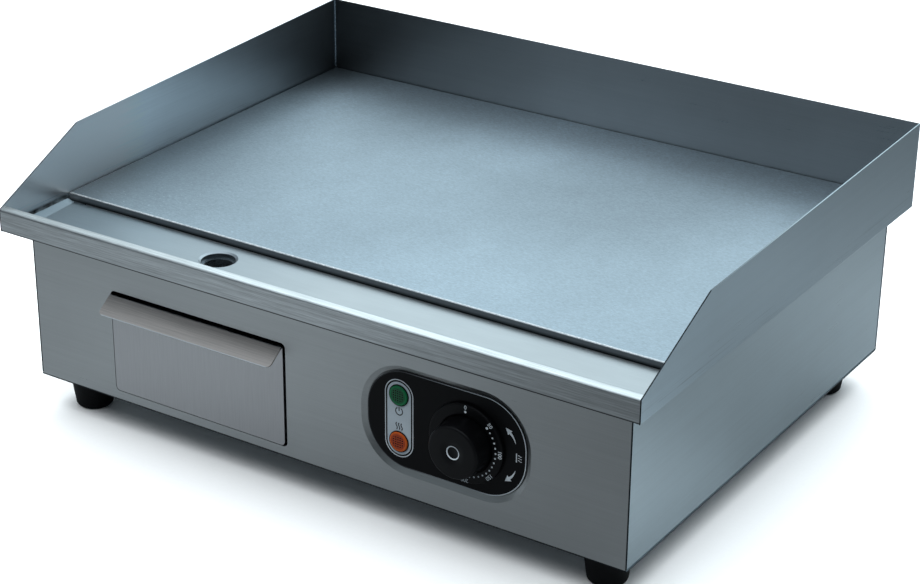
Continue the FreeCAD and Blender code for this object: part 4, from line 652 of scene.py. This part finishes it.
class GRIDDLE_OT_fascia(bpy.types.Operator):
    """Finish the control fascia and print its rim, lamp strip, symbols and arrows"""
    bl_idname = "griddle.fascia"
    bl_label = "Control fascia"

    def execute(self, context):
        ink = context.scene.griddle_print
        face = FASCIA_LOW[1]
        black = moulded("screen_printed_black", linear("#08080a"), 0.34, grain_mm=0.8, depth_mm=0.005,
                        shine=0.13)
        dress(black, "control_fascia")
        silver = moulded("printed_silver_ink", linear("#c0ccd4"), 0.5, grain_mm=1.0, depth_mm=0.004, spread=0.05)
        white = moulded("printed_white_ink", linear("#d4dce2"), 0.5, grain_mm=0.4, depth_mm=0.004)
        dark = moulded("printed_grey_ink", linear("#23262b"), 0.5, grain_mm=0.4, depth_mm=0.004)
        self.rim(ink, face, self.bead())
        self.strip(ink, face, silver, white)
        self.symbols(ink, face - ink.proud, dark)
        self.arrows(ink, face, white)
        return {"FINISHED"}

    def bead(self):
        """The panel's rolled rim, with a painted reflection: bright at the right, dark at the left."""
        made, tree, shader, place = material("fascia_rim_bead")
        rim_reflection = between(tree, axes(tree, place)["X"], 0.0, 1.0, FASCIA_LOW[0] + 30 * MM, FASCIA_HIGH[0] - 25 * MM)
        tree.links.new(blended(tree, rim_reflection, linear("#2c2f33"), linear("#c6cfd5")), shader.inputs["Base Color"])
        shader.inputs["Roughness"].default_value = 0.45
        return made

    def rim(self, ink, face, finish):
        cx, cz = (FASCIA_LOW[0] + FASCIA_HIGH[0]) / 2, (FASCIA_LOW[2] + FASCIA_HIGH[2]) / 2
        width, height = FASCIA_HIGH[0] - FASCIA_LOW[0], FASCIA_HIGH[2] - FASCIA_LOW[2]
        corner = 33.75 * MM

        def build(bm):
            inset = 0.05 * MM
            outer = stadium(cx, cz, width - 2 * inset, height - 2 * inset, corner - inset, 24)
            inset += ink.line
            inner = stadium(cx, cz, width - 2 * inset, height - 2 * inset, corner - inset, 24)
            slab(bm, outer, face, ink.proud, inner)
        new_piece("fascia_rim_line", mesh_from("fascia_rim_line", build), finish, "housing")

    def strip(self, ink, face, silver, white):
        cz = (GREEN_Z + AMBER_Z) / 2
        width, height = 19.8 * MM, 56.6 * MM

        def band(grow):
            """The strip's outline, grown all round; its ends stay just short of half circles."""
            return stadium(LAMP_X, cz, width + 2 * grow, height + 2 * grow, width / 2 + grow - 0.01 * MM)

        def plate(bm):
            slab(bm, band(0.0), face, ink.proud)

        def outline(bm):
            gap = 1.3 * MM
            slab(bm, band(gap + ink.line), face, ink.proud, band(gap))
        new_piece("lamp_strip", mesh_from("lamp_strip", plate), silver, "housing")
        new_piece("lamp_strip_outline", mesh_from("lamp_strip_outline", outline), white, "housing")

    def symbols(self, ink, face, finish):
        """Power symbol under the green lamp, heat symbol over the amber one."""
        cz = (GREEN_Z + AMBER_Z) / 2
        power_z, heat_z = cz + 5.6 * MM, cz - 6.2 * MM
        weight = 0.85 * MM

        def power(bm):
            radius = 2.9 * MM
            start, end = 30, 330
            arc = [(LAMP_X + radius * math.sin(math.radians(a)), power_z + radius * math.cos(math.radians(a)))
                   for a in range(start, end + 1, 12)]
            stroke(bm, arc, [weight] * len(arc), face, ink.proud)
            bar = [(LAMP_X, power_z + 0.2 * MM), (LAMP_X, power_z + 3.2 * MM)]
            stroke(bm, bar, [weight] * len(bar), face, ink.proud)

        def heat(bm):
            for shift in (-2.1, 0.0, 2.1):
                wave = [(LAMP_X + (shift + 0.55 * math.sin(k / 12 * 2 * math.pi)) * MM,
                         heat_z + (-2.6 + 5.2 * k / 12) * MM) for k in range(13)]
                stroke(bm, wave, [weight] * len(wave), face, ink.proud)
        new_piece("power_symbol", mesh_from("power_symbol", power), finish, "housing")
        new_piece("heat_symbol", mesh_from("heat_symbol", heat), finish, "housing")

    def arrows(self, ink, face, finish):
        """Two tapering arrows that curve round the dial, and a small heat sign between them."""
        radius = 40.0 * MM

        def build(bm):
            for side in (-1, 1):
                angles = [90 + side * (15 + 12 * k / 10) for k in range(11)]
                line = [polar(DIAL, radius - 1.7 * (k / 10) ** 2 * MM, a) for k, a in enumerate(angles)]
                widths = [(0.25 + 1.75 * k / 10) * MM for k in range(11)]
                stroke(bm, line, widths, face, ink.proud)
                end = Vector(line[-1])
                run = (end - Vector(line[-2])).normalized()
                across = Vector((-run.y, run.x))
                head = [end + run * 4.8 * MM, end + across * 2.5 * MM, end - across * 2.5 * MM]
                slab(bm, [tuple(corner) for corner in head], face, ink.proud)

        def sign(bm):
            x, z = DIAL.x + 39.6 * MM, DIAL.z
            for k in range(3):
                lift = (k - 1) * 1.9 * MM
                wave = [(x + (1.0 + 3.0 * i / 8) * MM, z + lift + 0.4 * MM * math.sin(i / 8 * 2 * math.pi))
                        for i in range(9)]
                stroke(bm, wave, [0.45 * MM] * len(wave), face, ink.proud)
            tray = [(x - 0.2 * MM, z - 3.4 * MM), (x - 0.2 * MM, z + 3.4 * MM)]
            stroke(bm, tray, [0.8 * MM] * 2, face, ink.proud)
        new_piece("turn_arrows", mesh_from("turn_arrows", build), finish, "housing")
        new_piece("heat_sign", mesh_from("heat_sign", sign), finish, "housing")


class GRIDDLE_OT_lamps(bpy.types.Operator):
    """Finish the two pilot lamps and give each a bezel"""
    bl_idname = "griddle.lamps"
    bl_label = "Pilot lamps"

    def execute(self, context):
        holders = moulded("black_nylon_holder", linear("#17181a"), 0.5)
        dress(holders, "green_lamp_holder", "amber_lamp_holder")
        for name, z, deep, middle, bright in (("green", GREEN_Z, "#000402", "#055a34", "#10804c"),
                                              ("amber", AMBER_Z, "#100200", "#a83e12", "#e06a20")):
            centre = (LAMP_X, GREEN_LOW[1], z)
            lens = lamp_lens(name + "_acrylic_lens", linear(deep), linear(middle), linear(bright), centre)
            dress(lens, name + "_lamp_lens")
            bezel = moulded(name + "_acrylic_rim", linear(deep), 0.22, grain_mm=1.0, depth_mm=0.003, shine=0.3)

            def build(bm, z=z):
                middle = Vector((LAMP_X, FASCIA_LOW[1], z))
                lathe(bm, [(7.62, 0.0), (8.2, 0.0), (8.25, 0.5), (8.0, 0.9), (7.75, 0.95), (7.62, 0.7)], middle)
            new_piece(name + "_lamp_bezel", mesh_from(name + "_lamp_bezel", build), bezel, "housing")
        return {"FINISHED"}


class GRIDDLE_OT_dial(bpy.types.Operator):
    """Finish the dial ring and print its dots and numbers"""
    bl_idname = "griddle.dial"
    bl_label = "Dial"

    def execute(self, context):
        ink = context.scene.griddle_print
        dress(moulded("phenolic_dial_ring", linear("#09090b"), 0.38, grain_mm=0.6, shine=0.18), "dial_ring")
        white = moulded("dial_white_ink", linear("#dde6ec"), 0.5, grain_mm=0.4, depth_mm=0.004)
        face = RING_LOW[1]
        full_turn, top_heat, step = 270.0, 300, 10

        def dots(bm):
            for heat in [0] + list(range(50, top_heat + 1, step)):
                radius = ink.dot * (1.5 if heat <= 50 else 1.0)
                cx, cz = polar(DIAL, ink.dot_circle, full_turn * heat / top_heat)
                slab(bm, [(cx + radius * math.cos(a), cz + radius * math.sin(a))
                          for a in [2 * math.pi * i / 16 for i in range(16)]], face, ink.proud)
        new_piece("dial_dots", mesh_from("dial_dots", dots), white, "housing")
        for heat in range(0, top_heat, 50):
            self.number(str(heat), full_turn * heat / top_heat, face, ink, white)
        return {"FINISHED"}

    def number(self, text, degrees, face, ink, finish):
        """One number, its top towards the ring's outer edge."""
        curve = bpy.data.curves.new("number_" + text, "FONT")
        curve.body = text
        curve.size = ink.digit * 1.35
        curve.align_x = "CENTER"
        curve.align_y = "CENTER"
        curve.extrude = ink.proud / 2
        curve.offset = 0.01 * MM
        holder = bpy.data.objects.new("number_" + text, curve)
        bpy.context.scene.collection.objects.link(holder)
        bpy.context.view_layer.update()
        mesh = bpy.data.meshes.new_from_object(holder.evaluated_get(bpy.context.evaluated_depsgraph_get()))
        bpy.data.objects.remove(holder)
        x, z = polar(DIAL, ink.digit_circle, degrees)
        upright = Matrix.Rotation(math.pi / 2, 4, "X")
        turn = Matrix.Rotation(math.radians(degrees), 4, "Y")
        mesh.transform(Matrix.Translation((x, face - ink.proud / 2, z)) @ turn @ upright)
        new_piece("dial_number_" + text, mesh, finish, "housing")


class GRIDDLE_OT_knob(bpy.types.Operator):
    """Build the finished knob over its plain solid"""
    bl_idname = "griddle.knob"
    bl_label = "Knob"

    def execute(self, context):
        length = (KNOB_HIGH[1] - KNOB_LOW[1]) / MM
        base = 21.0
        front = 19.9
        edge = 1.9
        centre = Vector((DIAL.x, KNOB_HIGH[1], DIAL.z))
        profile = [(base - 2.4, 0.0), (base, 0.0), (base - 0.05, 0.4)]
        profile += [(base + (front - base) * k / 6, 0.4 + (length - edge - 0.4) * k / 6) for k in range(1, 7)]
        for k in range(1, 9):
            a = math.pi / 2 * k / 8
            profile.append((front - edge * (1 - math.cos(a)), length - edge * (1 - math.sin(a))))
        dish, depth = 10.5, 2.1

        def dished(r):
            """Height of the front face at radius r of the dish."""
            return length - depth * 0.5 * (1 + math.cos(math.pi * r / dish))
        for k in range(25):
            r = dish * (1 - k / 24)
            profile.append((r, dished(r)))
        phenolic = moulded("phenolic_knob", linear("#070709"), 0.38, grain_mm=0.7, depth_mm=0.01, shine=0.24)

        def build(bm):
            lathe(bm, profile, centre)
        knob = new_piece("knob_shell", mesh_from("knob_shell", build), phenolic, "thermostat_control")
        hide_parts("thermostat_knob")

        def ring(bm):
            corners = ((5.2, -0.05), (5.2, 0.05), (4.8, 0.05), (4.4, 0.05), (4.4, -0.05))
            lathe(bm, [(r, dished(r) + lift) for r, lift in corners], centre)
        white = moulded("knob_white_ink", linear("#dde6ec"), 0.5, grain_mm=0.4, depth_mm=0.004)
        new_piece("knob_ring_mark", mesh_from("knob_ring_mark", ring), white, "thermostat_control")
        return {"FINISHED"}


class GRIDDLE_OT_feet(bpy.types.Operator):
    """Finish the rubber feet"""
    bl_idname = "griddle.feet"
    bl_label = "Feet"

    def execute(self, context):
        rubber = moulded("moulded_black_rubber", linear("#08080a"), 0.6, grain_mm=0.9, depth_mm=0.03, shine=0.2)
        dress(rubber, "foot_front_left", "foot_front_right", "foot_back_left", "foot_back_right")
        return {"FINISHED"}


class GRIDDLE_OT_inner_parts(bpy.types.Operator):
    """Finish the fasteners, the heating parts, the supply parts and the leads"""
    bl_idname = "griddle.inner_parts"
    bl_label = "Inner parts"

    def execute(self, context):
        dress(plain_metal("zinc_plated_steel", linear("#b9bdc2"), 0.30), "back_panel_screws", "base_screws",
              "foot_screws", "foot_nuts", "thermostat_screws", "plate_studs", "stud_nuts", "thermostat_spindle")
        dress(plain_metal("oxidised_element_sheath", linear("#5d564f"), 0.5, cell_mm=12), "heating_element_1",
              "heating_element_2", "heating_element_3", "heating_element_4")
        dress(plain_metal("hot_rolled_steel", linear("#6a6c70"), 0.45, cell_mm=20), "element_clamp_plate",
              "bulb_saddles")
        dress(plain_metal("galvanised_steel", linear("#aeb4b8"), 0.38, cell_mm=14, spread=0.18), "heat_shield")
        dress(plain_metal("drawn_copper", linear("#c98a5c"), 0.28), "sensor_bulb", "sensor_capillary")
        dress(plain_metal("turned_brass", linear("#c9a557"), 0.28), "bonding_stud", "bonding_nuts")
        dress(mineral_wool(), "insulation_blanket")
        dress(moulded("glazed_steatite", linear("#e6e2d6"), 0.25), "element_terminals", "terminal_block")
        dress(moulded("black_nylon", linear("#15161a"), 0.45), "cable_gland", "cable_gland_nut", "thermostat_body",
              "safety_cutout")
        dress(moulded("brown_glass_braid", linear("#5a3a26"), 0.7, grain_mm=0.7, depth_mm=0.1), "live_leads")
        dress(moulded("blue_glass_braid", linear("#2b4f93"), 0.7, grain_mm=0.7, depth_mm=0.1), "neutral_lead")
        dress(earth_sleeve(), "earth_lead")
        return {"FINISHED"}


class GRIDDLE_OT_stage(bpy.types.Operator):
    """Set up the floor, the soft lights and the camera"""
    bl_idname = "griddle.stage"
    bl_label = "Studio"

    def execute(self, context):
        stage = context.scene.griddle_stage
        self.floor(stage)
        self.world(context.scene, stage)
        self.soft_light("floor_softbox", (-0.3, 0.1, 2.4), (-0.1, 0.0, 0.0), 4.5, 4.5, stage.top, "#fbfcfd")
        self.camera(context.scene, stage)
        context.scene.view_settings.view_transform = "Standard"
        return {"FINISHED"}

    def floor(self, stage):
        """Matt paper. The steel sees it greyer than the eye does, as it would with the floor's lamps flagged."""
        made, tree, shader, place = material("matt_paper_floor")
        fibre = noise(tree, place, (3, 3, 3), detail=3.0)
        seen = add(tree, "LightPath").outputs["Is Camera Ray"]
        dim = between(tree, distance(tree, place, (0.0, 0.0, 0.0)), 1.25, 0.5, 0.36, 0.85)
        # Flags over the floor.
        dim = pooled(tree, place, dim, ((0.26, -0.52, 0.18, 0.55, 0.40), (-0.36, -0.27, 0.04, 0.20, 0.72),
                                        (0.42, 0.15, 0.06, 0.22, 0.66), (0.36, -0.12, 0.03, 0.18, 1.7)))
        paper = blended(tree, seen, shaded(tree, tuple(stage.floor_grey), dim), tuple(stage.floor))
        tree.links.new(shaded(tree, paper, between(tree, fibre, 0.99, 1.01)), shader.inputs["Base Color"])
        shader.inputs["Roughness"].default_value = 0.9
        shader.inputs["Specular IOR Level"].default_value = 0.1

        def build(bm):
            reach = 60.0
            corners = [bm.verts.new((x, y, 0.0)) for x, y in ((-reach, -reach), (reach, -reach), (reach, reach),
                                                              (-reach, reach))]
            bm.faces.new(corners)
        mesh = mesh_from("studio_floor", build)
        mesh.materials.append(made)
        floor = bpy.data.objects.new("studio_floor", mesh)
        bpy.context.scene.collection.objects.link(floor)
        floor.location.z = -0.0002

    def world(self, scene, stage):
        """Graded surroundings: a pale diffusing wall behind the griddle, dimmer to the sides and the front."""
        world = bpy.data.worlds.new("studio_surroundings")
        world.use_nodes = True
        tree = world.node_tree
        tree.nodes.clear()
        place = add(tree, "TexCoord")
        way = axes(tree, place, "Generated")
        bearing = combine(tree, "ARCTAN2", way["X"], way["Y"])
        round_it = add(tree, "ValToRGB", {"Fac": between(tree, bearing, 0.0, 1.0, -math.pi, math.pi)})
        # Bearings in degrees clockwise from straight behind the griddle, each with its colour.
        stops = ((-180, "#50565a"), (-130, "#6f777c"), (-80, "#6f777c"), (-52, "#98a3aa"), (-36, "#e9f9ff"),
                 (32, "#e4f4fb"), (42, "#7d868c"), (130, "#3c4043"), (180, "#50565a"))
        for _ in stops[1:-1]:
            round_it.color_ramp.elements.new(0.5)
        for element, (degrees, colour) in zip(round_it.color_ramp.elements, stops):
            element.position = (degrees + 180) / 360
            element.color = linear(colour)
        climb = add(tree, "MapRange", {"Value": way["Z"], "From Min": 0.24, "From Max": 0.46, "To Min": 0.35,
                                       "To Max": 1.0}, interpolation_type="SMOOTHSTEP").outputs["Result"]
        overhead = add(tree, "MapRange", {"Value": way["Z"], "From Min": 0.70, "From Max": 0.95},
                       interpolation_type="SMOOTHSTEP").outputs["Result"]
        wall = shaded(tree, round_it.outputs["Color"], climb)
        glow = add(tree, "Background", {"Color": blended(tree, overhead, wall, linear("#ccd7de")),
                                        "Strength": stage.sky})
        add(tree, "OutputWorld", {"Surface": glow.outputs["Background"]})
        scene.world = world

    def soft_light(self, name, place, aim, width, height, power, colour):
        light = bpy.data.lights.new(name, "AREA")
        light.shape = "RECTANGLE"
        light.size = width
        light.size_y = height
        light.energy = power
        light.color = linear(colour)[:3]
        holder = bpy.data.objects.new(name, light)
        bpy.context.scene.collection.objects.link(holder)
        holder.location = place
        holder.rotation_euler = (Vector(aim) - Vector(place)).to_track_quat("-Z", "Y").to_euler()
        # The steel mirrors only the graded surroundings and the floor.
        holder.visible_glossy = False

    def camera(self, scene, stage):
        """Three-quarter view from above the right front corner."""
        yaw, pitch, roll = -0.5937, 0.4442, 0.0012
        forward = Vector((math.sin(yaw) * math.cos(pitch), math.cos(yaw) * math.cos(pitch), -math.sin(pitch)))
        right = Vector((math.cos(yaw), -math.sin(yaw), 0.0))
        up = right.cross(forward)
        right, up = right * math.cos(roll) + up * math.sin(roll), up * math.cos(roll) - right * math.sin(roll)
        data = bpy.data.cameras.new("studio_camera")
        data.lens = stage.lens
        data.sensor_width = 36.0
        data.shift_x = 0.0438
        data.shift_y = 0.0217
        holder = bpy.data.objects.new("studio_camera", data)
        scene.collection.objects.link(holder)
        turn = Matrix((right, up, -forward)).transposed().to_4x4()
        holder.matrix_world = Matrix.Translation((0.8788, -1.3598, 0.8433)) @ turn
        scene.camera = holder


class GRIDDLE_PT_sidebar(bpy.types.Panel):
    bl_label = "Electric griddle"
    bl_space_type = "VIEW_3D"
    bl_region_type = "UI"
    bl_category = "Griddle"

    def draw(self, context):
        scene = context.scene
        for group in (scene.griddle_steel, scene.griddle_print, scene.griddle_stage):
            box = self.layout.box()
            for name in group.__annotations__:
                box.prop(group, name)
        for operator in OPERATORS:
            self.layout.operator(operator.bl_idname)


OPERATORS = (GRIDDLE_OT_sheet_metal, GRIDDLE_OT_cooking_plate, GRIDDLE_OT_corner_welds, GRIDDLE_OT_fascia,
             GRIDDLE_OT_lamps, GRIDDLE_OT_dial, GRIDDLE_OT_knob, GRIDDLE_OT_feet, GRIDDLE_OT_inner_parts,
             GRIDDLE_OT_stage)
GROUPS = {"griddle_steel": GriddleSteel, "griddle_print": GriddlePrint, "griddle_stage": GriddleStage}


def register():
    for name, group in GROUPS.items():
        bpy.utils.register_class(group)
        setattr(bpy.types.Scene, name, bpy.props.PointerProperty(type=group))
    for operator in OPERATORS:
        bpy.utils.register_class(operator)
    bpy.utils.register_class(GRIDDLE_PT_sidebar)


def unregister():
    bpy.utils.unregister_class(GRIDDLE_PT_sidebar)
    for operator in reversed(OPERATORS):
        bpy.utils.unregister_class(operator)
    for name, group in GROUPS.items():
        delattr(bpy.types.Scene, name)
        bpy.utils.unregister_class(group)


def main():
    register()
    for operator in OPERATORS:
        category, name = operator.bl_idname.split(".")
        getattr(getattr(bpy.ops, category), name)()


if __name__ == "__main__":
    main()
